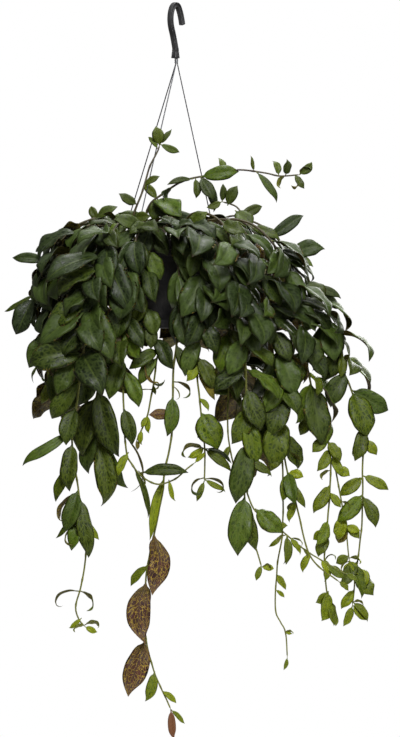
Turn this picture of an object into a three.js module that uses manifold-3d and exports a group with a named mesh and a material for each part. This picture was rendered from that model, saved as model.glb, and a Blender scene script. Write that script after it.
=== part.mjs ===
// A hanging pot of lipstick plant: a plastic hook, three steel wires and a tapered pot of soil,
// with leafy stems that rise from the soil, arch over the rim and trail far below the pot.
// Millimetres, +Z up. The origin is the inside top of the hook, where it hangs on its support.
// +X is to the right and -Y to the front of the plant.
import * as THREE from "three";
import { mergeVertices } from "three/addons/utils/BufferGeometryUtils.js";
import Module from "manifold-3d";

const wasm = await Module();
wasm.setup();

const deg = THREE.MathUtils.degToRad;
const v3 = (x, y, z) => new THREE.Vector3(x, y, z);
const UP = v3(0, 0, 1);

// ---------------------------------------------------------------- driving dimensions
const FIT = 0.35; // clearance between pieces that touch
const pot = {
  x: -28, // the pot's axis, left of the hook because the stems on the right weigh more
  rimZ: -373,
  height: 141,
  rimRadius: 90,
  rimBand: 16,
  rimWall: 3,
  neckRadius: 84,
  baseRadius: 62,
  footRadius: 64,
  footHeight: 13,
  wall: 2,
  floor: 3,
  segments: 30,
  drainHoles: 5,
  drainRadius: 5,
  drainCircle: 38,
};
pot.baseZ = pot.rimZ - pot.height;
const soil = { top: -391, segments: 24 };
const wire = { radius: 0.9, lugAngles: [8, 128, 248], lugDrop: 9, standOff: 2.4 };
const hook = { bar: 7.5, turn: 50, socketTop: -64, socketBottom: -82 };
const ferrule = { x: 1.4, radius: 3, top: -78, bottom: -90 };
const stemRadius = { main: 2, branch: 1.7, hole: 3.5 };
const blade = { thickness: 1.6, stalk: 1.9, stalkShare: 0.1, fold: 0.18, longLeaf: 100, rootDepth: 0.9 };

// ---------------------------------------------------------------- solids
function solidFrom(geometry) {
  const bare = geometry.clone();
  for (const name of Object.keys(bare.attributes)) {
    if (name !== "position") bare.deleteAttribute(name);
  }
  const merged = mergeVertices(bare, 1e-4);
  return new wasm.Manifold(
    new wasm.Mesh({
      numProp: 3,
      vertProperties: merged.attributes.position.array,
      triVerts: new Uint32Array(merged.index.array),
    }),
  );
}

function geometryFrom(solid) {
  const mesh = solid.getMesh();
  const geometry = new THREE.BufferGeometry();
  geometry.setAttribute("position", new THREE.BufferAttribute(mesh.vertProperties, 3));
  geometry.setIndex(new THREE.BufferAttribute(mesh.triVerts, 1));
  geometry.computeVertexNormals();
  return geometry;
}

function facesToGeometry(points, faces) {
  const geometry = new THREE.BufferGeometry();
  geometry.setAttribute(
    "position",
    new THREE.Float32BufferAttribute(points.flatMap((p) => [p.x, p.y, p.z]), 3),
  );
  geometry.setIndex(faces.flat());
  return geometry;
}

// A closed tube of few sides along a curve.
function tube(curve, radius, sides, steps) {
  const outline = new THREE.Shape();
  for (let k = 0; k < sides; k++) {
    const turn = (2 * Math.PI * k) / sides;
    outline[k ? "lineTo" : "moveTo"](radius * Math.cos(turn), radius * Math.sin(turn));
  }
  return new THREE.ExtrudeGeometry(outline, { steps, extrudePath: curve, bevelEnabled: false });
}

// ---------------------------------------------------------------- hook
// The hook is an I-section bar bent in one plane, with a socket for the wires at its foot.
// Its centreline is in its own plane: sideways, height.
const hookLine = new THREE.CatmullRomCurve3(
  [
    [0, -78],
    [-0.5, -66],
    [-6, -46],
    [-11.5, -29],
    [-12.3, -15],
    [-8.5, -2],
    [-1.5, 3.75],
    [5.5, 1.5],
    [10.5, -7],
    [14, -17],
    [17, -29],
  ].map(([u, z]) => v3(u, z, 0)),
);

// The outline of a band of this width along the hook's centreline, between two shares of its length.
function hookBand(width, from, to, steps) {
  const left = [];
  const right = [];
  for (let i = 0; i <= steps; i++) {
    const at = from + ((to - from) * i) / steps;
    const p = hookLine.getPointAt(at);
    const t = hookLine.getTangentAt(at);
    left.push(new THREE.Vector2(p.x - (t.y * width) / 2, p.y + (t.x * width) / 2));
    right.unshift(new THREE.Vector2(p.x + (t.y * width) / 2, p.y - (t.x * width) / 2));
  }
  return new THREE.Shape([...left, ...right]);
}

function slab(shape, from, to) {
  const geometry = new THREE.ExtrudeGeometry(shape, { depth: to - from, bevelEnabled: false });
  geometry.translate(0, 0, from);
  return geometry;
}

function hookSolid() {
  const { bar } = hook;
  const groove = { width: bar - 3.2, depth: 1.6 };
  let solid = solidFrom(slab(hookBand(bar, 0, 1, 18), -bar / 2, bar / 2));
  for (const side of [-1, 1]) {
    const outer = (side * bar) / 2 + side;
    const inner = side * (bar / 2 - groove.depth);
    const cut = slab(
      hookBand(groove.width, 0.17, 0.985, 15),
      Math.min(outer, inner),
      Math.max(outer, inner),
    );
    solid = solid.subtract(solidFrom(cut));
  }
  const socket = new THREE.CylinderGeometry(
    5.6,
    7.6,
    hook.socketTop - hook.socketBottom,
    4,
  );
  socket.rotateY(Math.PI / 4);
  socket.translate(0, (hook.socketTop + hook.socketBottom) / 2, 0);
  solid = solid.add(solidFrom(socket));
  // From the hook's own plane to the part's frame, then turned about the vertical.
  const upright = new THREE.Matrix4()
    .makeRotationZ(deg(hook.turn))
    .multiply(new THREE.Matrix4().makeRotationX(Math.PI / 2));
  const geometry = geometryFrom(solid).applyMatrix4(upright);
  const bore = new THREE.CylinderGeometry(
    ferrule.radius + FIT,
    ferrule.radius + FIT,
    ferrule.top - hook.socketBottom + FIT + 1,
    8,
  );
  bore.rotateX(Math.PI / 2);
  bore.translate(ferrule.x, 0, (ferrule.top + FIT + hook.socketBottom - 1) / 2);
  return solidFrom(geometry).subtract(solidFrom(bore));
}

// ---------------------------------------------------------------- wires
function lugPoint(angle, radius, z) {
  return v3(pot.x + radius * Math.cos(deg(angle)), radius * Math.sin(deg(angle)), z);
}

// Each wire runs from the ferrule down to just outside the rim, then hooks inwards through it.
function wireRoute(angle) {
  const outside = pot.rimRadius + wire.standOff;
  const inside = pot.rimRadius - 8.5;
  const legZ = pot.rimZ - wire.lugDrop;
  const spread = v3(Math.cos(deg(angle)), Math.sin(deg(angle)), 0).multiplyScalar(1.7);
  const top = v3(ferrule.x, 0, ferrule.bottom + 5).add(spread);
  const neck = top.clone().setZ(ferrule.bottom - 1);
  return {
    top,
    run: [neck, lugPoint(angle, outside, pot.rimZ + 4)],
    foot: [
      lugPoint(angle, outside, legZ + 3),
      lugPoint(angle, outside - 1.8, legZ),
      lugPoint(angle, inside + 1.8, legZ),
      lugPoint(angle, inside, legZ + 3),
      lugPoint(angle, inside, legZ + 6),
    ],
  };
}

// The whole wire as a chain of straight and rounded stretches.
function wireSolid(angle) {
  const { top, run, foot } = wireRoute(angle);
  const straight = (from, to) => tube(new THREE.LineCurve3(from, to), wire.radius, 5, 1);
  const past = run[1].clone().sub(run[0]).normalize().multiplyScalar(0.6);
  return wasm.Manifold.union(
    [
      straight(top, run[0].clone().add(v3(0, 0, -0.5))),
      straight(run[0], run[1].clone().add(past)),
      straight(run[1], foot[0].clone().add(v3(0, 0, -0.5))),
      tube(new THREE.CatmullRomCurve3(foot), wire.radius, 5, 8),
    ].map(solidFrom),
  );
}

function ferruleSolid() {
  const body = new THREE.CylinderGeometry(
    ferrule.radius,
    ferrule.radius,
    ferrule.top - ferrule.bottom,
    8,
  );
  body.rotateX(Math.PI / 2);
  body.translate(ferrule.x, 0, (ferrule.top + ferrule.bottom) / 2);
  let solid = solidFrom(body);
  for (const angle of wire.lugAngles) {
    const { top } = wireRoute(angle);
    const depth = top.z + FIT - ferrule.bottom + 1;
    const hole = new THREE.CylinderGeometry(wire.radius + 0.25, wire.radius + 0.25, depth, 6);
    hole.rotateX(Math.PI / 2);
    hole.translate(top.x, top.y, ferrule.bottom - 1 + depth / 2);
    solid = solid.subtract(solidFrom(hole));
  }
  return solid;
}

// ---------------------------------------------------------------- pot and soil
const neckZ = pot.rimZ - pot.rimBand;
const footTop = pot.baseZ + pot.footHeight;

// The pot's outer radius at a height.
function outerRadius(z) {
  if (z > neckZ) return pot.rimRadius;
  if (z < footTop) return pot.footRadius;
  return THREE.MathUtils.mapLinear(z, footTop, neckZ, pot.baseRadius, pot.neckRadius);
}

function innerRadius(z) {
  if (z > neckZ + pot.rimWall) return pot.rimRadius - pot.rimWall;
  const up = THREE.MathUtils.clamp(z, footTop, neckZ);
  return THREE.MathUtils.mapLinear(up, footTop, neckZ, pot.baseRadius, pot.neckRadius) - pot.wall;
}

function lathe(profile, segments) {
  const points = profile.map(([r, z]) => new THREE.Vector2(r, z));
  const geometry = new THREE.LatheGeometry(points, segments);
  geometry.rotateX(Math.PI / 2);
  geometry.translate(pot.x, 0, 0);
  return solidFrom(geometry);
}

function potSolid() {
  const { rimRadius, rimWall, baseZ, rimZ, neckRadius, baseRadius, footRadius, wall } = pot;
  const floorZ = baseZ + pot.floor;
  let solid = lathe(
    [
      [0, baseZ],
      [footRadius - 2, baseZ],
      [footRadius, baseZ + 2],
      [footRadius, footTop],
      [baseRadius, footTop],
      [neckRadius, neckZ],
      [rimRadius - 1, neckZ],
      [rimRadius, neckZ + 2],
      [rimRadius, rimZ],
      [rimRadius - rimWall, rimZ],
      [rimRadius - rimWall, neckZ + rimWall],
      [neckRadius - wall, neckZ + rimWall],
      [neckRadius - wall, neckZ],
      [baseRadius - wall, footTop],
      [baseRadius - wall, floorZ],
      [0, floorZ],
    ],
    pot.segments,
  );
  for (let i = 0; i < pot.drainHoles; i++) {
    const turn = (2 * Math.PI * (i + 0.5)) / pot.drainHoles;
    const hole = new THREE.CylinderGeometry(pot.drainRadius, pot.drainRadius, pot.floor * 3, 8);
    hole.rotateX(Math.PI / 2);
    hole.translate(
      pot.x + pot.drainCircle * Math.cos(turn),
      pot.drainCircle * Math.sin(turn),
      baseZ + pot.floor / 2,
    );
    solid = solid.subtract(solidFrom(hole));
  }
  for (const angle of wire.lugAngles) {
    const radius = wire.radius + 0.7;
    const hole = new THREE.CylinderGeometry(radius, radius, 12, 8);
    hole.rotateZ(Math.PI / 2);
    hole.rotateZ(deg(angle));
    const at = lugPoint(angle, rimRadius - 1, pot.rimZ - wire.lugDrop - 0.35);
    hole.translate(at.x, at.y, at.z);
    solid = solid.subtract(solidFrom(hole));
  }
  return solid;
}

// The soil has a plain hole round the foot of each stem, given by the stem's first two joints.
function soilSolid(stemFeet) {
  const low = pot.baseZ + pot.floor + FIT;
  const edge = (z) => innerRadius(z) * Math.cos(Math.PI / pot.segments) - FIT;
  const bed = lathe(
    [
      [0, low],
      [edge(low), low],
      [edge(footTop), footTop],
      [edge(soil.top - 2), soil.top - 2],
      [60, soil.top],
      [0, soil.top + 1],
    ],
    soil.segments,
  );
  const holes = stemFeet.map(([foot, next]) => {
    const along = next.clone().sub(foot).normalize();
    const line = new THREE.LineCurve3(foot.clone().addScaledVector(along, -FIT), next);
    return solidFrom(tube(line, 1.3 * stemRadius.hole, 3, 1));
  });
  return bed.subtract(wasm.Manifold.union(holes));
}

// ---------------------------------------------------------------- where the stems run
// Each stem is listed with its routes and the leaves that show at the front. The first route
// starts in the soil, and any other starts on the first and is a side branch. A leaf is
// [foot x, foot z, tip x, tip z, width, depth], where depth is how far its tip comes forward.
// pairs says between which shares of its length the stem also carries leaves in pairs.
const stems = [
  {
    name: "stem_climber",
    routes: [
      [[-58, -58, -401], [-68, -70, -362], [-68, -84, -338], [-54, -82, -301], [-41, -72, -258], [-28, -62, -231], [-25, -58, -221]],
    ],
    leaves: [
      [-47, -287, -25, -272, 11, 4],
      [-26, -222, -31, -192, 20, 6],
      [-25, -221, 8, -233, 12, -4],
      [-60, -318, -90, -300, 16, 10],
      [-66, -340, -40, -335, 18, 14],
    ],
    pairs: null,
  },
  {
    name: "stem_arch_right",
    routes: [
      [[-52, -18, -401], [-50, -20, -350], [-41, -20, -317], [-20, -20, -299], [4, -20, -283], [28, -20, -274], [79, -22, -266], [103, -24, -261], [143, -28, -266], [167, -30, -271], [198, -34, -269]],
    ],
    leaves: [
      [27, -272, -14, -285, 10, 8],
      [32, -275, 34, -307, 13, 6],
      [40, -272, 103, -261, 22, 4],
      [40, -274, 63, -309, 22, 14],
      [44, -273, 66, -330, 16, 0],
      [129, -264, 166, -312, 12, 10],
      [165, -271, 157, -245, 13, -8],
      [176, -271, 180, -244, 14, 6],
      [190, -270, 205, -292, 12, 6],
      [198, -269, 220, -249, 14, 0],
      [80, -266, 70, -240, 12, -10],
      [-30, -307, -52, -282, 14, -10],
      [-40, -320, 56, -350, 24, 30],
      [-49, -340, -92, -332, 20, 12],
    ],
    pairs: null,
  },
  {
    name: "stem_sprig_right",
    routes: [
      [[14, -14, -401], [44, -18, -356], [84, -24, -336], [105, -25, -334], [99, -24, -321], [86, -22, -315], [74, -20, -312]],
    ],
    leaves: [
      [74, -313, 76, -283, 12, 6],
      [85, -315, 99, -286, 19, 4],
      [98, -322, 122, -355, 29, 16],
      [104, -334, 140, -318, 18, -6],
      [74, -312, 50, -322, 12, 4],
    ],
    pairs: [0.45, 1],
  },
  {
    name: "stem_shoulder_right",
    routes: [
      [[42, -15, -401], [45, -23, -362], [90, -48, -340], [119, -57, -352], [138, -56, -364], [159, -56, -374], [178, -58, -399], [191, -60, -418], [207, -62, -434], [218, -64, -445], [231, -66, -469], [239, -68, -485], [263, -72, -541], [268, -74, -581], [279, -76, -610], [298, -77, -665], [298, -78, -741], [298, -78, -790], [296, -78, -837], [290, -78, -885], [286, -78, -915], [282, -78, -956]],
    ],
    leaves: [
      [119, -356, 168, -372, 19, 16],
      [150, -369, 205, -330, 19, -8],
      [180, -399, 239, -384, 26, 4],
      [183, -404, 222, -412, 20, 20],
      [218, -445, 266, -464, 16, 0],
      [210, -437, 231, -478, 32, 18],
      [221, -450, 262, -486, 19, -14],
      [245, -498, 252, -568, 40, 22],
      [266, -552, 262, -594, 16, 10],
      [281, -614, 305, -689, 38, 14],
      [281, -612, 340, -646, 32, -10],
      [296, -672, 285, -726, 25, 12],
      [298, -752, 260, -781, 21, 6],
      [298, -749, 341, -771, 18, 4],
      [298, -779, 256, -823, 26, 12],
      [298, -781, 321, -831, 22, 10],
      [297, -690, 322, -716, 18, 6],
      [289, -895, 304, -925, 20, 14],
      [289, -893, 323, -937, 30, 12],
      [290, -885, 266, -925, 24, 12],
      [283, -950, 308, -981, 14, 6],
      [282, -956, 268, -990, 14, 4],
    ],
    pairs: null,
  },
  {
    name: "stem_shoulder_left",
    routes: [
      [[-93, 7, -401], [-104, 6, -352], [-121, 0, -338], [-153, -6, -347], [-175, -12, -365], [-190, -18, -384], [-204, -24, -408], [-214, -28, -434], [-226, -32, -466]],
    ],
    leaves: [
      [-161, -352, -192, -385, 22, 10],
      [-180, -370, -228, -391, 16, -6],
      [-204, -407, -263, -403, 16, -2],
      [-204, -411, -190, -444, 19, 16],
      [-226, -464, -254, -527, 32, 8],
      [-121, -338, -138, -318, 14, -8],
      [-126, -338, -92, -320, 18, 12],
    ],
    pairs: [0.5, 1],
  },
  {
    name: "stem_left_edge",
    routes: [
      [[-88, -10, -401], [-102, -20, -354], [-130, -36, -356], [-165, -48, -385], [-190, -58, -440], [-200, -64, -510], [-203, -66, -570], [-202, -66, -602]],
    ],
    leaves: [
      [-193, -450, -201, -543, 30, 14],
      [-202, -600, -213, -636, 15, 4],
      [-202, -585, -180, -650, 22, 16],
      [-200, -520, -232, -580, 28, -8],
    ],
    pairs: [0.35, 1],
  },
  {
    name: "stem_left_front",
    routes: [
      [[-76, -38, -401], [-92, -58, -352], [-122, -84, -372], [-134, -104, -440], [-134, -112, -510], [-128, -116, -570], [-124, -118, -620], [-122, -119, -700]],
    ],
    leaves: [
      [-127, -572, -186, -610, 38, 14],
      [-124, -620, -152, -720, 37, 12],
      [-134, -509, -127, -580, 27, 18],
      [-131, -540, -104, -612, 34, 10],
      [-124, -611, -92, -722, 40, 16],
      [-122, -690, -107, -798, 32, 10],
      [-123, -655, -146, -752, 34, 20],
      [-122, -672, -82, -776, 26, -6],
      [-124, -600, -188, -652, 15, -10],
      [-110, -366, -186, -466, 35, 16],
      [-122, -430, -112, -516, 30, 24],
      [-100, -356, -128, -391, 26, 24],
    ],
    pairs: [0.3, 0.75],
  },
  {
    name: "stem_left_long",
    routes: [
      [[-70, -48, -401], [-72, -54, -362], [-88, -88, -346], [-108, -128, -384], [-128, -146, -450], [-144, -152, -540], [-154, -152, -620], [-164, -150, -690], [-152, -148, -780], [-145, -146, -830], [-142, -144, -877], [-150, -142, -925], [-158, -141, -957], [-153, -141, -976], [-143, -141, -988]],
    ],
    leaves: [
      [-162, -680, -249, -730, 17, 4],
      [-163, -695, -170, -775, 26, 14],
      [-157, -728, -192, -792, 17, -8],
      [-154, -770, -176, -840, 26, 6],
      [-146, -812, -166, -868, 22, 14],
      [-152, -781, -139, -880, 29, 12],
      [-148, -800, -190, -850, 10, -4],
      [-143, -988, -124, -998, 10, 2],
      [-140, -510, -182, -560, 34, 18],
      [-130, -455, -168, -500, 32, 20],
      [-152, -600, -198, -660, 28, -10],
      [-147, -815, -120, -850, 14, 8],
    ],
    pairs: [0.16, 0.5],
  },
  {
    name: "stem_loop",
    routes: [
      [[-46, -58, -401], [-47, -64, -364], [-52, -104, -348], [-70, -130, -400], [-80, -134, -480], [-82, -136, -560], [-82, -136, -640], [-78, -136, -709], [-70, -136, -728], [-54, -137, -749], [-28, -138, -762], [-1, -138, -754], [18, -137, -738], [31, -136, -728]],
    ],
    leaves: [
      [-77, -712, -92, -750, 14, 8],
      [-57, -746, 22, -742, 18, 10],
      [-75, -465, -92, -532, 30, 16],
      [-80, -560, -104, -628, 30, 14],
      [-82, -580, -56, -640, 24, 12],
      [-82, -640, -66, -700, 22, 8],
      [-66, -372, -46, -418, 28, 8],
      [-54, -350, -98, -338, 24, 12],
      [-81, -510, -60, -566, 28, 8],
      [-68, -396, -94, -446, 30, 12],
      [-76, -436, -54, -492, 26, 14],
    ],
    pairs: [0.25, 0.6],
  },
  {
    name: "stem_centre_left",
    routes: [
      [[-32, -60, -401], [-33, -66, -364], [-38, -98, -350], [-46, -112, -400], [-48, -112, -470], [-40, -110, -515], [-26, -108, -541], [-30, -108, -568], [-35, -108, -605], [-41, -108, -637], [-46, -108, -658], [-54, -108, -677], [-62, -108, -694]],
    ],
    leaves: [
      [-45, -390, -22, -439, 30, 8],
      [-48, -420, -72, -472, 28, 16],
      [-42, -505, -38, -548, 22, 8],
      [-28, -548, -74, -580, 22, 18],
      [-30, -560, -58, -606, 20, 10],
      [-45, -655, -54, -672, 10, 6],
      [-41, -362, -10, -398, 26, 10],
      [-36, -348, -76, -362, 24, 16],
      [-46, -395, -66, -438, 26, 16],
      [-47, -462, -66, -508, 26, 10],
    ],
    pairs: null,
  },
  {
    name: "stem_centre_long",
    routes: [
      [[-14, -60, -401], [-8, -94, -352], [2, -110, -390], [6, -112, -440], [5, -112, -510], [-3, -112, -581], [-4, -112, -630], [-6, -112, -687], [-17, -113, -741], [-20, -114, -773], [-31, -115, -829], [-43, -116, -885], [-47, -116, -917], [-49, -116, -960], [-47, -116, -1005], [-36, -116, -1053], [-23, -116, -1085], [-7, -116, -1120]],
    ],
    leaves: [
      [-3, -621, -12, -687, 22, 10],
      [-5, -650, -42, -652, 18, 4],
      [-18, -746, -38, -853, 13, 10],
      [-33, -839, -41, -937, 32, 12],
      [-47, -914, -52, -1014, 35, 12],
      [-48, -1008, -79, -1097, 35, 10],
      [-34, -1060, -45, -1108, 18, 8],
      [-7, -1120, -4, -1168, 13, 6],
      [3, -372, 28, -422, 34, 8],
      [5, -450, 24, -508, 28, 10],
      [4, -405, 30, -452, 32, 14],
      [5, -484, 20, -546, 28, 14],
      [5, -430, 10, -486, 22, 20],
      [2, -540, 20, -590, 18, 8],
      [-44, -890, -72, -925, 14, -8],
      [-20, -1090, 2, -1110, 10, 4],
    ],
    pairs: null,
  },
  {
    name: "stem_centre_right",
    routes: [
      [[2, -58, -401], [5, -64, -364], [22, -94, -348], [38, -118, -385], [42, -122, -440], [39, -124, -520], [35, -124, -581], [37, -124, -613], [41, -124, -650], [44, -124, -680], [47, -124, -709], [46, -124, -757]],
    ],
    leaves: [
      [42, -647, 71, -707, 40, 14],
      [43, -669, 36, -689, 13, 6],
      [47, -706, 91, -741, 16, 6],
      [46, -755, 82, -772, 10, 2],
      [47, -705, 20, -721, 12, 4],
      [42, -432, 58, -518, 34, 12],
      [34, -366, 71, -396, 24, 16],
      [18, -350, 52, -330, 22, 10],
      [38, -386, 22, -434, 26, 22],
      [41, -470, 20, -528, 26, 12],
      [40, -500, 66, -556, 28, 12],
      [40, -404, 64, -446, 28, 10],
      [38, -530, 14, -592, 26, 6],
      [37, -560, 60, -612, 26, 10],
      [46, -757, 34, -790, 10, 4],
    ],
    pairs: [0.3, 0.75],
  },
  {
    name: "stem_right_thin",
    routes: [
      [[15, -54, -401], [18, -58, -364], [44, -90, -348], [72, -106, -395], [82, -104, -480], [85, -106, -560], [85, -106, -605], [83, -106, -669], [89, -106, -717], [98, -106, -752]],
    ],
    leaves: [
      [76, -437, 100, -516, 35, 22],
      [84, -520, 70, -588, 26, 12],
      [85, -600, 104, -640, 16, 8],
      [88, -700, 74, -728, 10, 4],
    ],
    pairs: [0.3, 0.75],
  },
  {
    name: "stem_right_front",
    routes: [
      [[6, -38, -401], [12, -50, -350], [38, -80, -330], [80, -126, -356], [102, -138, -450], [110, -144, -540], [113, -146, -620], [114, -147, -690], [112, -148, -740], [110, -148, -780], [118, -148, -830], [129, -148, -867], [137, -148, -893]],
      [[111, -148, -768], [124, -150, -800], [140, -152, -814], [167, -154, -834], [199, -155, -861], [231, -155, -882], [271, -155, -904]],
    ],
    leaves: [
      [114, -693, 92, -793, 35, 12],
      [111, -778, 97, -876, 35, 14],
      [113, -790, 129, -868, 22, 6],
      [137, -893, 157, -896, 11, 0],
      [137, -890, 128, -915, 10, 4],
      [128, -800, 172, -838, 32, 14],
      [177, -842, 175, -889, 13, 6],
      [231, -882, 244, -905, 10, 2],
      [271, -904, 290, -914, 10, 0],
      [92, -404, 120, -455, 30, 20],
      [102, -462, 146, -520, 28, 18],
      [74, -346, 112, -362, 26, 18],
      [106, -500, 132, -560, 34, 12],
      [108, -530, 84, -590, 32, 16],
      [113, -610, 140, -676, 34, 12],
      [113, -640, 92, -700, 28, 10],
      [113, -655, 128, -738, 34, 18],
      [160, -825, 178, -826, 12, 6],
    ],
    pairs: [0.2, 0.7],
  },
  {
    name: "stem_right_column",
    routes: [
      [[26, -42, -401], [29, -47, -362], [58, -76, -342], [104, -102, -354], [140, -110, -430], [152, -112, -500], [162, -115, -550], [167, -117, -600], [168, -118, -655], [170, -118, -700], [180, -118, -750], [191, -118, -789], [202, -119, -837], [212, -120, -872], [228, -120, -893], [260, -120, -917]],
      [[169, -118, -690], [171, -112, -770], [170, -108, -840], [162, -106, -893], [159, -106, -960], [167, -106, -981], [175, -106, -997], [178, -106, -1038]],
    ],
    leaves: [
      [168, -656, 157, -738, 40, 14],
      [163, -552, 189, -623, 38, 14],
      [155, -517, 184, -568, 29, 20],
      [182, -754, 208, -800, 14, 8],
      [180, -744, 204, -750, 16, 6],
      [179, -742, 188, -792, 24, 14],
      [170, -700, 152, -742, 24, 14],
      [166, -612, 150, -688, 36, 22],
      [191, -789, 178, -822, 12, 6],
      [212, -872, 200, -902, 12, 4],
      [260, -917, 276, -932, 10, 0],
      [138, -428, 170, -480, 32, 16],
      [146, -470, 122, -530, 32, 12],
      [165, -590, 140, -650, 34, 12],
      [169, -680, 200, -742, 32, 10],
    ],
    pairs: [0.15, 0.5],
  },
  {
    name: "stem_right_outer",
    routes: [
      [[35, -29, -401], [38, -34, -362], [70, -58, -342], [124, -82, -350], [172, -94, -405], [192, -98, -480], [205, -100, -550], [216, -101, -605], [226, -101, -650], [242, -100, -690], [247, -100, -741], [241, -98, -837], [237, -97, -885], [241, -96, -933], [247, -96, -950]],
      [[241, -100, -688], [254, -92, -735], [263, -88, -784], [270, -86, -824], [277, -84, -885]],
    ],
    leaves: [
      [216, -600, 234, -700, 40, 16],
      [224, -640, 236, -706, 29, 6],
      [240, -684, 219, -711, 13, 8],
      [243, -694, 264, -724, 20, 10],
      [243, -706, 226, -742, 18, 12],
      [255, -738, 278, -748, 18, 6],
      [268, -812, 258, -852, 24, 12],
      [272, -832, 294, -848, 16, 4],
      [246, -775, 262, -800, 14, 8],
      [249, -715, 266, -750, 16, 4],
      [246, -763, 216, -806, 21, 10],
      [241, -840, 225, -877, 20, 8],
      [241, -838, 218, -850, 16, -6],
      [270, -822, 280, -856, 18, 8],
      [277, -885, 263, -922, 20, 6],
      [276, -876, 256, -890, 16, 0],
      [241, -935, 224, -952, 16, 4],
      [247, -945, 235, -981, 22, 6],
      [247, -950, 256, -992, 14, 2],
      [200, -520, 226, -580, 34, 10],
      [190, -470, 222, -520, 32, 14],
      [176, -420, 206, -470, 30, 18],
    ],
    pairs: [0.12, 0.5],
  },
];

// The other stems fall like a curtain round the sides and back of the pot. Each is given by its
// bearing from the pot's axis, the radius it hangs at, how far below the rim it ends, and how
// much its bearing swings on the way. Stems that hang further out root nearer the middle.
const curtain = [
  // front, short stems that fill the crown
  [-3, 112, 190, -5],
  [-150, 110, 170, -4],
  [-158, 152, 60, 4],
  // sides and back, close to the pot
  [28, 110, 250, 5],
  [70, 112, 160, 4],
  [110, 110, 150, -4],
  [150, 110, 260, 4],
  // further out
  [18, 150, 330, 4],
  [40, 152, 230, -4],
  [82, 152, 160, 4],
  [142, 140, 200, 4],
  [160, 136, 280, 4],
  [182, 138, 240, -3],
  // furthest out, from the middle of the pot
  [-5, 200, 130, 3],
  [30, 204, 150, 5],
  [54, 196, 250, -4],
  [78, 198, 130, 4],
  [104, 192, 150, 4],
  [134, 178, 120, -4],
  [156, 168, 210, 4],
  [171, 164, 110, 3],
];

// The route of a curtain stem, as a list like those above.
function curtainRoute([bearing, reach, drop, swing]) {
  const rootRadius = 76 - 0.25 * (reach - 100);
  const crest = 14 + 0.15 * (reach - 80);
  const stops = [
    [rootRadius, soil.top - 10],
    [rootRadius + 6, pot.rimZ + 0.6 * crest],
    [0.35 * rootRadius + 0.65 * reach - 6, pot.rimZ + crest],
    [reach - 4, pot.rimZ - 4],
    [reach, pot.rimZ - 50],
  ];
  const spans = Math.max(1, Math.round((drop - 50) / 80));
  for (let i = 1; i <= spans; i++) {
    stops.push([reach + 3 * (i % 2), pot.rimZ - 50 - ((drop - 50) * i) / spans]);
  }
  return stops.map(([radius, z], i) => {
    const turn = deg(bearing + (swing * i) / (stops.length - 1));
    const sway = i > 3 ? 5 * Math.sin(1.9 * i + bearing) : 0;
    return [
      pot.x + (radius + sway) * Math.cos(turn) - 1.4 * sway * Math.sin(turn),
      (radius + sway) * Math.sin(turn) + 1.4 * sway * Math.cos(turn),
      z,
    ];
  });
}

curtain.forEach((row, i) => {
  const number = String(i + 1).padStart(2, "0");
  stems.push({ name: `stem_curtain_${number}`, routes: [curtainRoute(row)], leaves: [], pairs: [0.3, 1] });
});

// ---------------------------------------------------------------- leaves
const crown = { top: -288, slope: 0.4, left: -236, openBelow: -548, openHalf: 56 };
const jointSpacing = 40; // every second joint along a stem carries a pair of leaves
const ruleLeaf = { length: [60, 108], width: [0.36, 0.48] };
const leafRoom = { thickness: 3.4, margin: 1.2 };
const tries = 26;

// Random numbers from 0 to 1, the same for the same seed.
function randomFrom(seed) {
  let state = seed >>> 0;
  return () => {
    state = (Math.imul(state, 1664525) + 1013904223) >>> 0;
    return state / 2 ** 32;
  };
}

// The joints of a stem: points at equal steps along its route.
function jointsOf(route) {
  const curve = new THREE.CatmullRomCurve3(route.map((p) => v3(...p)), false, "catmullrom", 0.5);
  const steps = Math.max(3, Math.round(curve.getLength() / jointSpacing));
  return { curve, steps, joints: curve.getSpacedPoints(steps) };
}

function closestOn(joints, x, z) {
  let best = { distance: Infinity };
  for (let i = 0; i < joints.length - 1; i++) {
    const [a, b] = [joints[i], joints[i + 1]];
    const [dx, dz] = [b.x - a.x, b.z - a.z];
    const along = ((x - a.x) * dx + (z - a.z) * dz) / (dx * dx + dz * dz);
    const share = THREE.MathUtils.clamp(along, 0, 1);
    const point = a.clone().lerp(b, share);
    const distance = Math.hypot(point.x - x, point.z - z);
    if (distance < best.distance) best = { distance, point };
  }
  return best;
}

// Away from the pot's axis, level.
function outward(p) {
  return v3(p.x - pot.x, p.y, 0).normalize();
}

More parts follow.
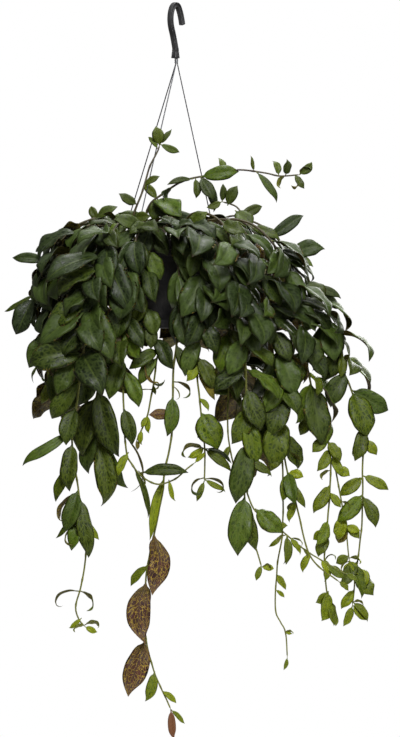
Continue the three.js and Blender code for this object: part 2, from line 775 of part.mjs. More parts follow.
// What each leaf of a stem is meant to be: foot, the line from foot to tip, width, upper side,
// bend from foot to tip, and how far in each direction it may be moved to clear its neighbours.
function leavesOf(stem, index) {
  const found = [];
  const routes = stem.routes.map(jointsOf);
  stem.leaves.forEach(([footX, footZ, tipX, tipZ, width, depth], i) => {
    const random = randomFrom(1000 * index + i + 1);
    const spots = routes.map(({ joints }) => closestOn(joints, footX, footZ));
    const foot = spots.reduce((a, b) => (b.distance < a.distance ? b : a)).point;
    const chord = v3(tipX - foot.x, -depth, tipZ - foot.z);
    const upper = v3(0, -1, 0.35).addScaledVector(outward(foot), 0.35);
    const bend = 0.35 + 0.5 * random();
    found.push({ foot, chord, width, upper, bend, spread: v3(0.1, 0.55, 0.1), random, byRule: false });
  });
  if (!stem.pairs) return found;
  const { joints } = routes[0];
  const [first, last] = stem.pairs.map((share) => share * (joints.length - 1));
  for (let j = Math.max(Math.ceil(first), 2); j <= last; j += 2) {
    const foot = joints[j];
    const along = joints[Math.min(j + 1, joints.length - 1)].clone().sub(joints[j - 1]).normalize();
    const out = outward(foot);
    const across = along.clone().cross(out).normalize();
    across.applyAxisAngle(along, (j % 4 ? 0.4 : -0.4) + 0.5 * Math.sin(7 * j + index));
    for (const side of [-1, 1]) {
      const random = randomFrom(1000 * index + 100 + 2 * j + (side + 1) / 2);
      const length = THREE.MathUtils.lerp(...ruleLeaf.length, random());
      const width = length * THREE.MathUtils.lerp(...ruleLeaf.width, random());
      const chord = across
        .clone()
        .multiplyScalar(side * (0.45 + 0.5 * random()))
        .addScaledVector(along, 0.1 + 0.6 * random())
        .addScaledVector(out, 0.45 * random())
        .addScaledVector(UP, -0.55 * random());
      const upper = out.clone().addScaledVector(UP, 0.5 + 0.5 * random());
      const bend = 0.3 + 0.9 * random();
      chord.setLength(length);
      found.push({ foot, chord, width, upper, bend, spread: v3(0.6, 0.6, 0.6), random, byRule: true });
    }
  }
  return found;
}

// A leaf moved from where it was meant to be, further the later the attempt.
function moved(leaf, attempt) {
  const { random, spread } = leaf;
  const reach = attempt / (tries - 1);
  const length = leaf.chord.length();
  const shift = v3(random() - 0.5, random() - 0.5, random() - 0.5).multiply(spread);
  const chord = leaf.chord.clone().addScaledVector(shift, 2 * reach * length);
  if (leaf.byRule) chord.setLength(length * (1 - 0.35 * reach));
  const along = chord.clone().normalize();
  const roll = 1.8 * reach * (random() - 0.5);
  const upper = leaf.upper.clone().addScaledVector(along, -leaf.upper.dot(along)).normalize();
  upper.applyAxisAngle(along, roll);
  return { ...leaf, chord, along, upper, width: leaf.width * (1 - 0.25 * reach) };
}

// A leaf's half width at a share of its length, for a leaf of width 1.
function halfWidth(share) {
  const u = Math.max(0, (share - blade.stalkShare) / (1 - blade.stalkShare));
  return 1.4 * u ** 0.62 * (1 - u) ** 0.9;
}

// The closed surface of a leaf: a stalk, then a blade folded a little along its midrib, that
// bends along an arc from foot to tip. Extra thickness and margin make the room that it needs.
function leafGeometry(leaf, thickness, margin) {
  const { foot, chord, along, upper, width, bend } = leaf;
  const side = upper.clone().cross(along);
  const arcLength = (chord.length() * bend) / (2 * Math.sin(bend / 2));
  const shares = arcLength > blade.longLeaf ? [0.1, 0.36, 0.72] : [0.12, 0.5];
  const widen = shares.length === 2 ? 1.1 : 1;
  const at = (share) => {
    const slope = bend / 2 - bend * share;
    return {
      point: foot
        .clone()
        .addScaledVector(along, (arcLength * (Math.sin(bend / 2) - Math.sin(slope))) / bend)
        .addScaledVector(upper, (arcLength * (Math.cos(slope) - Math.cos(bend / 2))) / bend),
      normal: upper
        .clone()
        .multiplyScalar(Math.cos(slope))
        .addScaledVector(along, -Math.sin(slope)),
      tangent: along
        .clone()
        .multiplyScalar(Math.cos(slope))
        .addScaledVector(upper, Math.sin(slope)),
    };
  };
  const points = [foot.clone().addScaledVector(at(0).tangent, -blade.rootDepth)];
  shares.forEach((share, i) => {
    const { point, normal } = at(share);
    const isBlade = i > 0;
    const half = isBlade ? widen * width * halfWidth(share) + margin : blade.stalk + margin;
    const lift = isBlade ? blade.fold * half : 0;
    const depth = isBlade ? thickness / 2 : blade.stalk * 0.7 + margin / 2;
    points.push(
      point.clone().addScaledVector(side, half).addScaledVector(normal, lift),
      point.clone().addScaledVector(normal, depth),
      point.clone().addScaledVector(side, -half).addScaledVector(normal, lift),
      point.clone().addScaledVector(normal, -depth),
    );
  });
  const end = at(1);
  points.push(end.point.addScaledVector(end.tangent, margin));
  const faces = [];
  const last = 4 * (shares.length - 1) + 1;
  const tip = points.length - 1;
  for (let k = 0; k < 4; k++) {
    const next = (k + 1) % 4;
    faces.push([0, 1 + next, 1 + k], [last + k, last + next, tip]);
    for (let i = 1; i < last; i += 4) {
      const [a, b, c, d] = [i + k, i + next, i + 4 + next, i + 4 + k];
      faces.push(...(k % 2 ? [[a, c, d], [a, b, c]] : [[a, b, d], [b, c, d]]));
    }
  }
  return { points, faces };
}

// ---------------------------------------------------------------- room for each leaf
// The edges and triangles of a surface, and the box round it.
function outlineOf({ points, faces }) {
  const seen = new Set();
  const edges = [];
  for (const face of faces) {
    for (let k = 0; k < 3; k++) {
      const [a, b] = [face[k], face[(k + 1) % 3]].sort((p, q) => p - q);
      if (seen.has(100 * a + b)) continue;
      seen.add(100 * a + b);
      edges.push([points[a], points[b]]);
    }
  }
  return { edges, triangles: faces.map((f) => f.map((i) => points[i])), box: boxOf(points) };
}

function boxOf(points) {
  return new THREE.Box3().setFromPoints(points);
}

const ray = new THREE.Ray();
const hit = new THREE.Vector3();

// Whether any of the edges goes through any of the triangles.
function pierces(edges, triangles) {
  return edges.some(([from, to]) => {
    const length = from.distanceTo(to);
    ray.origin.copy(from);
    ray.direction.copy(to).sub(from).divideScalar(length);
    return triangles.some(
      ([a, b, c]) => ray.intersectTriangle(a, b, c, false, hit) && hit.distanceTo(from) <= length,
    );
  });
}

// Leaves stay off the pot, its rim and the soil, and out from under its base.
function isFree(p) {
  const radius = Math.hypot(p.x - pot.x, p.y);
  if (p.z > pot.rimZ + 3) return true;
  if (p.z < pot.baseZ) return radius > pot.footRadius + 5;
  if (radius > outerRadius(p.z) + 5) return true;
  return p.z > soil.top + 4 && radius < innerRadius(p.z) - 3;
}

// Leaves that are placed by rule stay under the crown's dome, and don't stand out on the left.
// Below the pot they leave the middle open.
function isInCrown(p) {
  const radius = Math.hypot(p.x - pot.x, p.y);
  const isOpen = p.z < crown.openBelow && Math.abs(p.x) < crown.openHalf;
  return p.z < crown.top - crown.slope * radius && p.x > crown.left && !isOpen;
}

// The gap in the leaves at the front through which the pot shows.
function isInGap(p) {
  return p.y < 0 && p.x > -40 && p.x < -2 && p.z > -520 && p.z < -400;
}

// The blade of a leaf is the part of its surface past the stalk.
function bladeOf({ points, faces }) {
  return { points, faces: faces.filter((face) => Math.min(...face) > 0) };
}

// The points at which a blade is tested: its corners and the middle of each of its triangles.
function samplesOf({ points, faces }) {
  const middles = faces.map(([a, b, c]) =>
    points[a].clone().add(points[b]).add(points[c]).divideScalar(3),
  );
  return [...points.slice(1), ...middles];
}

// The room round each straight stretch of a stem or wire, as outlines. Stretches overlap a
// little, so that nothing slips in where the line turns.
function roomAlong(points, radius) {
  return points.slice(1).map((to, i) => {
    const from = points[i];
    const past = to.clone().sub(from).setLength(2);
    const line = new THREE.LineCurve3(from.clone().sub(past), to.clone().add(past));
    const geometry = tube(line, radius, 4, 1);
    geometry.deleteAttribute("normal");
    geometry.deleteAttribute("uv");
    const merged = mergeVertices(geometry, 1e-4);
    const place = merged.attributes.position;
    const corners = Array.from({ length: place.count }, (_, k) =>
      new THREE.Vector3().fromBufferAttribute(place, k),
    );
    const index = Array.from(merged.index.array);
    const faces = Array.from({ length: index.length / 3 }, (_, k) => index.slice(3 * k, 3 * k + 3));
    return outlineOf({ points: corners, faces });
  });
}

function collide(one, other) {
  return (
    one.box.intersectsBox(other.box) &&
    (pierces(one.edges, other.triangles) || pierces(other.edges, one.triangles))
  );
}

// Places the leaves of every stem, those that show at the front first, and returns each stem's
// leaves. A leaf that finds no room is left out.
function placeLeaves(stemList) {
  const lines = stemList.map(({ routes }) =>
    routes.flatMap((route) => roomAlong(jointsOf(route).joints, stemRadius.hole)),
  );
  const wires = wire.lugAngles.flatMap((angle) => roomAlong(wireRoute(angle).run, stemRadius.main));
  const placed = [];
  const wanted = stemList.flatMap((stem, index) =>
    leavesOf(stem, index).map((leaf) => ({ leaf, index })),
  );
  wanted.sort((a, b) => a.leaf.byRule - b.leaf.byRule);
  for (const { leaf, index } of wanted) {
    const rods = [...wires, ...lines.filter((_, i) => i !== index).flat()];
    for (let attempt = 0; attempt < tries; attempt++) {
      const pose = moved(leaf, attempt);
      const slim = leafGeometry(pose, leafRoom.thickness, leafRoom.margin);
      const samples = samplesOf(bladeOf(slim));
      if (!samples.every(isFree)) continue;
      if (leaf.byRule && (samples.some(isInGap) || !samples.every(isInCrown))) continue;
      const whole = outlineOf(slim);
      const part = outlineOf(bladeOf(slim));
      const blocked =
        rods.some((rod) => collide(whole, rod)) ||
        placed.some((other) =>
          other.index === index ? collide(part, other.part) : collide(whole, other.whole),
        );
      if (blocked) continue;
      placed.push({ index, pose, whole, part });
      break;
    }
  }
  return stemList.map((_, index) => placed.filter((p) => p.index === index).map((p) => p.pose));
}

function stemSolid(stem, leaves) {
  const pieces = stem.routes.map((route, i) => {
    const { curve, steps } = jointsOf(route);
    return solidFrom(tube(curve, i ? stemRadius.branch : stemRadius.main, 3, steps));
  });
  for (const leaf of leaves) {
    const { points, faces } = leafGeometry(leaf, blade.thickness, 0);
    pieces.push(solidFrom(facesToGeometry(points, faces)));
  }
  return wasm.Manifold.union(pieces);
}

// ---------------------------------------------------------------- assembly
const colours = {
  hook: 0x1d1d20,
  ferrule: 0x6f7276,
  wire: 0x3a3c40,
  pot: 0x1f2024,
  soil: 0x3a2b20,
  foliage: 0x3f5634,
};

const plant = new THREE.Group();

function addPiece(name, solid, colour, roughness, metalness = 0) {
  const material = new THREE.MeshStandardMaterial({ color: colour, roughness, metalness });
  const mesh = new THREE.Mesh(geometryFrom(solid), material);
  mesh.name = name;
  plant.add(mesh);
}

const wireNames = ["wire_right", "wire_back_left", "wire_front_left"];
addPiece("hook", hookSolid(), colours.hook, 0.6);
addPiece("wire_ferrule", ferruleSolid(), colours.ferrule, 0.45, 0.6);
wire.lugAngles.forEach((angle, i) => {
  addPiece(wireNames[i], wireSolid(angle), colours.wire, 0.4, 0.8);
});
addPiece("pot", potSolid(), colours.pot, 0.55);
const stemFeet = stems.map(({ routes }) => jointsOf(routes[0]).joints);
addPiece("soil", soilSolid(stemFeet), colours.soil, 0.95);
const leavesByStem = placeLeaves(stems);
stems.forEach((stem, i) => {
  addPiece(stem.name, stemSolid(stem, leavesByStem[i]), colours.foliage, 0.5);
});

export default plant;
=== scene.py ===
"""A hanging pot of lipstick plant: hook, wires, pot and soil, and leafy stems that trail far
below the pot. Metres, +Z up; sizes are given in millimetres and turned into metres as a piece
is made. The origin is the inside top of the hook, and -Y is the front."""
import math

import bmesh
import bpy
import numpy as np
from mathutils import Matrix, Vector, kdtree


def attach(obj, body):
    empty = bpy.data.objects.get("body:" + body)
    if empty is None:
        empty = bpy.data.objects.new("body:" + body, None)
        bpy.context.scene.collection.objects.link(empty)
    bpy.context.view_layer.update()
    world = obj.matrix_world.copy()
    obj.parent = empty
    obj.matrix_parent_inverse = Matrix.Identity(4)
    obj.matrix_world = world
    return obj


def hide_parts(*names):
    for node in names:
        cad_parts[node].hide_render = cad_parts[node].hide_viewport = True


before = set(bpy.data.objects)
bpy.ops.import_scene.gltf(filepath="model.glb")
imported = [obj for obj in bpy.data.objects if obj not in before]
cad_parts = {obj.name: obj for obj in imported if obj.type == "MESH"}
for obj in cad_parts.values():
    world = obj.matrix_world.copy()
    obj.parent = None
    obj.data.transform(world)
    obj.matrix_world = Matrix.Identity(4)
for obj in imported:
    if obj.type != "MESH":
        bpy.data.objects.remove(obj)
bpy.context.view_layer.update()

# ================================================================ the hook
# The plant hangs by a moulded hook of black plastic. It is an I-section bar, grooved on both
# sides, bent in one plane that is turned to the front, with a square socket at its foot.
HOOK_BAR = 7.5
HOOK_TURN = math.radians(50)
HOOK_GROOVE = {"half": 2.15, "depth": 1.6, "from": 0.17, "to": 0.975, "run": 0.02}
HOOK_LINE = [
    (0, -78), (-0.5, -66), (-6, -46), (-11.5, -29), (-12.3, -15), (-8.5, -2),
    (-1.5, 3.75), (5.5, 1.5), (10.5, -7), (14, -17), (17, -29),
]
SOCKET = {"top": -64, "bottom": -82, "half_top": 4.0, "half_bottom": 5.35, "bore": 3.35}
HOOK_BLACK = (24, 24, 27)


def linear(colour):
    """A colour of 0 to 255 per channel as the linear values that a shader takes."""
    c = np.asarray(colour, float) / 255
    c = np.where(c <= 0.04045, c / 12.92, ((c + 0.055) / 1.055) ** 2.4)
    return (*c.tolist(), 1.0)


def smooth_line(points, shares):
    """Points on the uniform Catmull-Rom curve through points: each span is the cubic that has
    at its ends half the chord between the neighbours on either side as its tangents."""
    p = np.asarray(points, float)
    p = np.vstack([2 * p[0] - p[1], p, 2 * p[-1] - p[-2]])
    at = np.clip(np.asarray(shares, float), 0, 1) * (len(points) - 1)
    i = np.minimum(at.astype(int), len(points) - 2)
    w = (at - i)[:, None]
    a, b, c, d = p[i], p[i + 1], p[i + 2], p[i + 3]
    t0, t1 = (c - a) / 2, (d - b) / 2
    return b + t0 * w + (3 * (c - b) - 2 * t0 - t1) * w**2 + (2 * (b - c) + t0 + t1) * w**3


def even_points(points, steps):
    """steps + 1 points at equal lengths along the curve, read from a table of 200 chords."""
    table = smooth_line(points, np.linspace(0, 1, 201))
    run = np.concatenate([[0], np.cumsum(np.linalg.norm(np.diff(table, axis=0), axis=1))])
    shares = np.interp(np.linspace(0, run[-1], steps + 1), run, np.linspace(0, 1, 201))
    return smooth_line(points, shares), run[-1]


def rounded(corners, radius, closed, steps=4):
    """A line whose corners are each replaced by the parabola that joins the points at radius
    from the corner on its two sides."""
    p = np.asarray(corners, float)
    before, after = np.roll(p, 1, 0), np.roll(p, -1, 0)
    if not closed:
        before[0], after[-1] = p[0], p[-1]
    ends = []
    for other in (before, after):
        gap = np.linalg.norm(other - p, axis=1, keepdims=True)
        ends.append(p + (other - p) * np.minimum(radius / np.maximum(gap, 1e-9), 0.49))
    t = np.linspace(0, 1, steps)[None, :, None]
    arcs = (1 - t) ** 2 * ends[0][:, None] + 2 * t * (1 - t) * p[:, None] + t**2 * ends[1][:, None]
    arcs = list(arcs)
    if not closed:
        arcs[0], arcs[-1] = p[:1], p[-1:]
    return np.vstack(arcs)


def grid_faces(rows, columns, wraps):
    """The four-cornered faces of a grid of points that is listed row after row. A grid that
    wraps joins its last column to its first."""
    i = np.arange(rows - 1)[:, None] * columns
    j = np.arange(columns if wraps else columns - 1)[None, :]
    k = (j + 1) % columns
    return np.stack([i + j, i + k, i + columns + k, i + columns + j], -1).reshape(-1, 4)


def frames_along(path, first):
    """Tangents of a path and two directions across it. The first direction is carried along
    and made square to each tangent in turn, so the section doesn't spin."""
    tangents = np.gradient(path, axis=0)
    tangents /= np.linalg.norm(tangents, axis=1, keepdims=True)
    across = np.empty_like(tangents)
    last = np.asarray(first, float)
    for i, t in enumerate(tangents):
        last = last - t * last.dot(t)
        last = last / np.linalg.norm(last)
        across[i] = last
    return tangents, across, np.cross(tangents, across)


def carried(path, sections, first):
    """A section carried along a path: the point at (i, j) is path i plus the section's two
    coordinates along the two directions across the path. Each ring may have its own section."""
    _, one, two = frames_along(path, first)
    sections = np.broadcast_to(sections, (len(path), *np.shape(sections)[-2:]))
    rings = path[:, None] + sections[..., :1] * one[:, None] + sections[..., 1:] * two[:, None]
    return rings.reshape(-1, 3), grid_faces(len(path), sections.shape[1], True)


def capped(points, faces, rows, columns):
    """Closes both ends of a wrapped grid with a fan round the middle of the end ring."""
    rings = points.reshape(rows, columns, 3)
    points = np.vstack([points, rings[0].mean(0), rings[-1].mean(0)])
    j = np.arange(columns)
    k = (j + 1) % columns
    first, last = rows * columns, rows * columns + 1
    low = np.stack([np.full(columns, first), k, j], -1)
    end = (rows - 1) * columns
    high = np.stack([np.full(columns, last), j + end, k + end], -1)
    return points, [*faces.tolist(), *low.tolist(), *high.tolist()]


def add_piece(name, points, faces, materials, nodes=(), slot="", tidy=True):
    """A mesh from points in millimetres, riding on the root. tidy merges doubled points and
    turns the faces outwards."""
    mesh = bpy.data.meshes.new(name)
    faces = faces.tolist() if isinstance(faces, np.ndarray) else faces
    mesh.from_pydata((np.asarray(points) * 0.001).tolist(), [], faces)
    if tidy:
        bm = bmesh.new()
        bm.from_mesh(mesh)
        bmesh.ops.remove_doubles(bm, verts=bm.verts, dist=1e-6)
        bmesh.ops.recalc_face_normals(bm, faces=bm.faces)
        bm.to_mesh(mesh)
        bm.free()
    mesh.polygons.foreach_set("use_smooth", [True] * len(mesh.polygons))
    for material in materials:
        mesh.materials.append(material)
    piece = bpy.data.objects.new(name, mesh)
    bpy.context.scene.collection.objects.link(piece)
    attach(piece, "root")
    if nodes:
        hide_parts(*nodes)
    return piece


def joined(parts):
    """Several point and face lists as one."""
    points, faces, start = [], [], 0
    for part_points, part_faces in parts:
        part_faces = part_faces.tolist() if isinstance(part_faces, np.ndarray) else part_faces
        points.append(part_points)
        faces.extend([[i + start for i in face] for face in part_faces])
        start += len(part_points)
    return np.vstack(points), faces


def sharp_edges(piece, angle):
    """Marks the edges whose faces meet at more than the angle in degrees as sharp."""
    bm = bmesh.new()
    bm.from_mesh(piece.data)
    for edge in bm.edges:
        if len(edge.link_faces) == 2 and edge.calc_face_angle() > math.radians(angle):
            edge.smooth = False
    bm.to_mesh(piece.data)
    bm.free()


class Shader:
    """A material or a node group, with short calls for adding and joining nodes."""

    def __init__(self, tree):
        self.tree = tree

    def node(self, kind, **values):
        """A node of this kind. Values set its own settings or, by name, its inputs."""
        made = self.tree.nodes.new("ShaderNode" + kind)
        for key, value in values.items():
            if hasattr(made, key):
                setattr(made, key, value)
        return made

    def put(self, value, socket):
        """A number, a colour or another node's output into an input."""
        if isinstance(value, bpy.types.NodeSocket):
            self.tree.links.new(value, socket)
        else:
            socket.default_value = value

    def math(self, operation, *values, clamp=False):
        made = self.node("Math", operation=operation, use_clamp=clamp)
        for value, socket in zip(values, made.inputs):
            self.put(value, socket)
        return made.outputs[0]

    def ramp(self, value, low, high, to_low=0.0, to_high=1.0):
        """A value between low and high spread smoothly from to_low to to_high."""
        made = self.node("MapRange", interpolation_type="SMOOTHSTEP")
        for item, socket in zip((value, low, high, to_low, to_high), made.inputs):
            self.put(item, socket)
        return made.outputs[0]

    def mix(self, share, one, other):
        """One colour that turns into the other as the share goes from 0 to 1."""
        made = self.node("Mix", data_type="RGBA")
        self.put(share, made.inputs[0])
        self.put(one, made.inputs[6])
        self.put(other, made.inputs[7])
        return made.outputs[2]

    def noise(self, place, scale, detail=3.0, roughness=0.55, distortion=0.0):
        made = self.node("TexNoise")
        self.put(place, made.inputs["Vector"])
        self.put(scale, made.inputs["Scale"])
        self.put(detail, made.inputs["Detail"])
        self.put(roughness, made.inputs["Roughness"])
        self.put(distortion, made.inputs["Distortion"])
        return made.outputs["Fac"]

    def object_place(self):
        """The place in the object's own coordinates, in metres."""
        return self.node("TexCoord").outputs["Object"]

    def attribute(self, name):
        """A value that the mesh holds for each of its points."""
        return self.node("Attribute", attribute_name=name).outputs["Fac"]

    def times(self, value, factor):
        return self.math("MULTIPLY", value, factor)

    def bump(self, height, strength, distance):
        """A normal that is tilted by the slope of a height."""
        made = self.node("Bump")
        self.put(height, made.inputs["Height"])
        made.inputs["Strength"].default_value = strength
        made.inputs["Distance"].default_value = distance
        return made.outputs[0]


def new_material(name):
    """A material with its Principled shader, and the Shader that adds nodes to it."""
    material = bpy.data.materials.new(name)
    material.use_nodes = True
    return material, Shader(material.node_tree), material.node_tree.nodes["Principled BSDF"]


def new_group(name, inputs, outputs):
    """A node group with number inputs and outputs, given by name and default value."""
    tree = bpy.data.node_groups.new(name, "ShaderNodeTree")
    for key, value in inputs.items():
        socket = tree.interface.new_socket(key, in_out="INPUT", socket_type="NodeSocketFloat")
        socket.default_value = value
    for key in outputs:
        tree.interface.new_socket(key, in_out="OUTPUT", socket_type="NodeSocketFloat")
    given = tree.nodes.new("NodeGroupInput")
    result = tree.nodes.new("NodeGroupOutput")
    return Shader(tree), given, result


def use_group(shader, tree, **values):
    """A group's node in a material or another group, with its own values."""
    made = shader.node("Group")
    made.node_tree = tree
    for key, value in values.items():
        shader.put(value, made.inputs[key])
    return made


# Moulded plastic: a fine spark-eroded grain, a slow change of shade, and dust in patches. Hook
# and pot both use it.
plastic, given, result = new_group(
    "moulded_plastic", {"Grain": 900.0, "Cloud": 30.0}, ("Grain", "Cloud", "Dust")
)
place = plastic.object_place()
grain = plastic.noise(place, given.outputs["Grain"], 2.0)
cloud = plastic.noise(place, given.outputs["Cloud"], 4.0)
dust = plastic.ramp(plastic.noise(place, 120.0, 6.0, 0.7), 0.52, 0.72)
plastic.put(grain, result.inputs["Grain"])
plastic.put(cloud, result.inputs["Cloud"])
plastic.put(dust, result.inputs["Dust"])
plastic_group = plastic.tree


def plastic_material(name, colour, dusty, roughness, dust_share):
    """Moulded plastic of one colour that fades to a dusty one where dust lies."""
    material, shader, principled = new_material(name)
    effect = use_group(shader, plastic_group, Grain=1100.0, Cloud=28.0)
    share = shader.times(effect.outputs["Dust"], dust_share)
    cloud_share = shader.ramp(effect.outputs["Cloud"], 0.3, 0.75, 0.0, 0.35)
    base = shader.mix(cloud_share, linear(colour), linear(dusty))
    shader.put(shader.mix(share, base, linear(dusty)), principled.inputs["Base Color"])
    rough = shader.ramp(effect.outputs["Cloud"], 0.3, 0.7, roughness - 0.07, roughness + 0.09)
    shader.put(rough, principled.inputs["Roughness"])
    shader.put(shader.bump(effect.outputs["Grain"], 0.25, 0.0002), principled.inputs["Normal"])
    principled.inputs["Specular IOR Level"].default_value = 0.5
    return material


hook_plastic = plastic_material("hook_plastic", HOOK_BLACK, (88, 88, 90), 0.42, 0.5)

# The bar: an I-section whose grooves run out towards both ends, closed by a rounded tip.
path_uz, hook_length = even_points([(u, z) for u, z in HOOK_LINE], 110)
shares = np.linspace(0, 1, len(path_uz))
half = HOOK_BAR / 2
inner = HOOK_GROOVE["half"]
in_groove = np.clip((shares - HOOK_GROOVE["from"]) / HOOK_GROOVE["run"], 0, 1) * np.clip(
    (HOOK_GROOVE["to"] - shares) / HOOK_GROOVE["run"], 0, 1
)
tip_left = np.clip((1 - shares) * hook_length / 1.6, 0, 1)
tip_scale = np.sqrt(np.clip(1 - (1 - tip_left) ** 2, 0.0, 1)) * 0.9 + 0.1
sections = []
for deep, scale in zip(in_groove * HOOK_GROOVE["depth"], tip_scale):
    web = half - max(deep, 0.02)
    corners = [
        (half, -half), (half, half), (inner, half), (inner - 0.25, web), (0.25 - inner, web),
        (-inner, half), (-half, half), (-half, -half), (-inner, -half), (0.25 - inner, -web),
        (inner - 0.25, -web), (inner, -half),
    ]
    sections.append(rounded(np.array(corners) * scale, 0.55, True))
sections = np.array(sections)
axis_u = np.array([math.cos(HOOK_TURN), math.sin(HOOK_TURN), 0])
axis_w = np.array([-math.sin(HOOK_TURN), math.cos(HOOK_TURN), 0])
path = path_uz[:, :1] * axis_u + path_uz[:, 1:] * np.array([0, 0, 1.0])
points, faces = carried(path, sections[..., ::-1], axis_w)
bar = capped(points, faces, len(path), sections.shape[1])

# The socket: a square that widens downwards, with a lip at its mouth and a round bore.
turn = np.linspace(0, 2 * math.pi, 48, endpoint=False)
socket_rings = [
    (SOCKET["top"] + 1.2, 2.6, 3.0), (SOCKET["top"] + 0.4, 3.6, 4.0),
    (SOCKET["top"] - 0.6, 4.0, 6.0), (-70, 4.45, 7.0), (-70.6, 4.2, 7.0), (-71.6, 4.2, 7.0),
    (-72.2, 4.62, 7.0), (-79.2, 5.12, 7.0), (-79.8, 5.35, 7.0),
    (SOCKET["bottom"] + 0.5, 5.35, 7.0), (SOCKET["bottom"], 4.95, 6.0),
    (SOCKET["bottom"], 3.9, 3.0), (SOCKET["bottom"] + 0.3, SOCKET["bore"], 2.0),
    (-78.2, SOCKET["bore"], 2.0),
]
rings = []
for z, reach, power in socket_rings:
    c, s = np.cos(turn), np.sin(turn)
    u = reach * np.sign(c) * np.abs(c) ** (2 / power)
    w = reach * np.sign(s) * np.abs(s) ** (2 / power)
    rings.append(u[:, None] * axis_u + w[:, None] * axis_w + [0, 0, z])
points = np.vstack(rings)
socket = capped(points, grid_faces(len(rings), len(turn), True), len(rings), len(turn))
hook = add_piece("hook_body", *joined([bar, socket]), [hook_plastic], ["hook"], "hook_plastic")
sharp_edges(hook, 38)

# ================================================================ the ferrule and the wires
# A short crimped tube of zinc-plated steel holds the tops of three thin steel wires. Each wire
# runs straight down to the pot's rim, goes in through a hole and turns up behind it.
FERRULE = {"x": 1.4, "radius": 3.0, "top": -78.0, "bottom": -90.0}
WIRE_RADIUS = 0.9
WIRE_ANGLES = {"wire_right": 8, "wire_back_left": 128, "wire_front_left": 248}
POT_X = -28.0
RIM = {"top": -373.0, "radius": 90.0, "band": 16.0, "wall": 3.0}
LUG = {"drop": 9.0, "stand_off": 2.4, "inside": 8.5}


def turned(profile, segments, centre_x):
    """A profile of radius and height turned about an upright axis."""
    profile = np.asarray(profile, float)
    turn = np.linspace(0, 2 * math.pi, segments, endpoint=False)[None, :]
    radius, z = profile[:, :1], profile[:, 1:]
    points = np.stack([centre_x + radius * np.cos(turn), radius * np.sin(turn), z + 0 * turn], -1)
    return points.reshape(-1, 3), grid_faces(len(profile), segments, True)


def metal_material(name, colour, worn, roughness, metallic):
    """Plated steel: a fine drawn grain, a duller shade in patches, darker where it is worn."""
    material, shader, principled = new_material(name)
    place = shader.object_place()
    fine = shader.noise(place, 2400.0, 2.0)
    patch = shader.noise(place, 160.0, 5.0, 0.65)
    share = shader.ramp(patch, 0.4, 0.68)
    shader.put(shader.mix(share, linear(colour), linear(worn)), principled.inputs["Base Color"])
    rough = shader.ramp(patch, 0.3, 0.75, roughness - 0.08, roughness + 0.14)
    shader.put(rough, principled.inputs["Roughness"])
    shader.put(shader.bump(fine, 0.15, 0.0001), principled.inputs["Normal"])
    principled.inputs["Metallic"].default_value = metallic
    return material


ferrule_steel = metal_material("ferrule_steel", (168, 170, 174), (104, 106, 110), 0.38, 0.85)
wire_steel = metal_material("wire_steel", (74, 75, 79), (46, 46, 50), 0.36, 0.75)

top, bottom, radius = FERRULE["top"], FERRULE["bottom"], FERRULE["radius"]
profile = [(0, top), (radius - 0.5, top), (radius, top - 0.5)]
for crimp in (top - 6.2, top - 9.2):
    dips = np.linspace(0, math.pi, 7)
    profile += [(radius - 0.42 * math.sin(a), crimp + 0.8 - 1.6 * a / math.pi) for a in dips]
profile += [(radius, bottom + 0.6), (radius - 0.45, bottom), (0, bottom)]
points, faces = turned(profile, 40, FERRULE["x"])
ferrule = add_piece(
    "ferrule_body", points, faces, [ferrule_steel], ["wire_ferrule"], "ferrule_steel"
)
sharp_edges(ferrule, 40)

wire_dots = []
for name, angle in WIRE_ANGLES.items():
    out = np.array([math.cos(math.radians(angle)), math.sin(math.radians(angle)), 0])
    middle = np.array([POT_X, 0, 0])
    leg = RIM["top"] - LUG["drop"]
    outside, inside = RIM["radius"] + LUG["stand_off"], RIM["radius"] - LUG["inside"]
    neck = np.array([FERRULE["x"], 0, 0]) + 1.7 * out
    corners = [
        neck + [0, 0, bottom + 5], neck + [0, 0, bottom - 1],
        middle + outside * out + [0, 0, RIM["top"] + 4], middle + outside * out + [0, 0, leg],
        middle + inside * out + [0, 0, leg], middle + inside * out + [0, 0, leg + 6],
    ]
    wire_dots.append(np.linspace(corners[1], corners[2], 161))
    path = rounded(corners, 2.4, False, 7)
    turn = np.linspace(0, 2 * math.pi, 12, endpoint=False)
    section = WIRE_RADIUS * np.stack([np.cos(turn), np.sin(turn)], -1)
    points, faces = carried(path, section, (-out[1], out[0], 0))
    wire = add_piece(
        name + "_drawn", *capped(points, faces, len(path), len(turn)), [wire_steel], [name],
        "wire_steel",
    )
    sharp_edges(wire, 60)

# ================================================================ the pot
# A thin-walled nursery pot of dark plastic, moulded in one piece: a band at the rim, a wall
# that narrows downwards to a plain foot, and five drainage holes in a ring in its floor.
POT = {
    "base": -514.0, "neck_radius": 84.0, "base_radius": 62.0, "foot_radius": 64.0,
    "foot_height": 13.0, "wall": 2.0, "floor": 3.0,
}
DRAIN = {"holes": 5, "radius": 5.0, "circle": 38.0}
neck_z = RIM["top"] - RIM["band"]
foot_top = POT["base"] + POT["foot_height"]


def wall_profile(radius_low, radius_high, steps):
    """The wall between foot and neck, with three shallow steps where the mould is relieved."""
    z = np.linspace(foot_top, neck_z, steps)
    share = (z - foot_top) / (neck_z - foot_top)
    ridge = 0.45 * np.exp(-(((share[:, None] - [0.12, 0.82, 0.9]) / 0.008) ** 2)).sum(1)
    return np.stack([radius_low + (radius_high - radius_low) * share - ridge, z], -1)


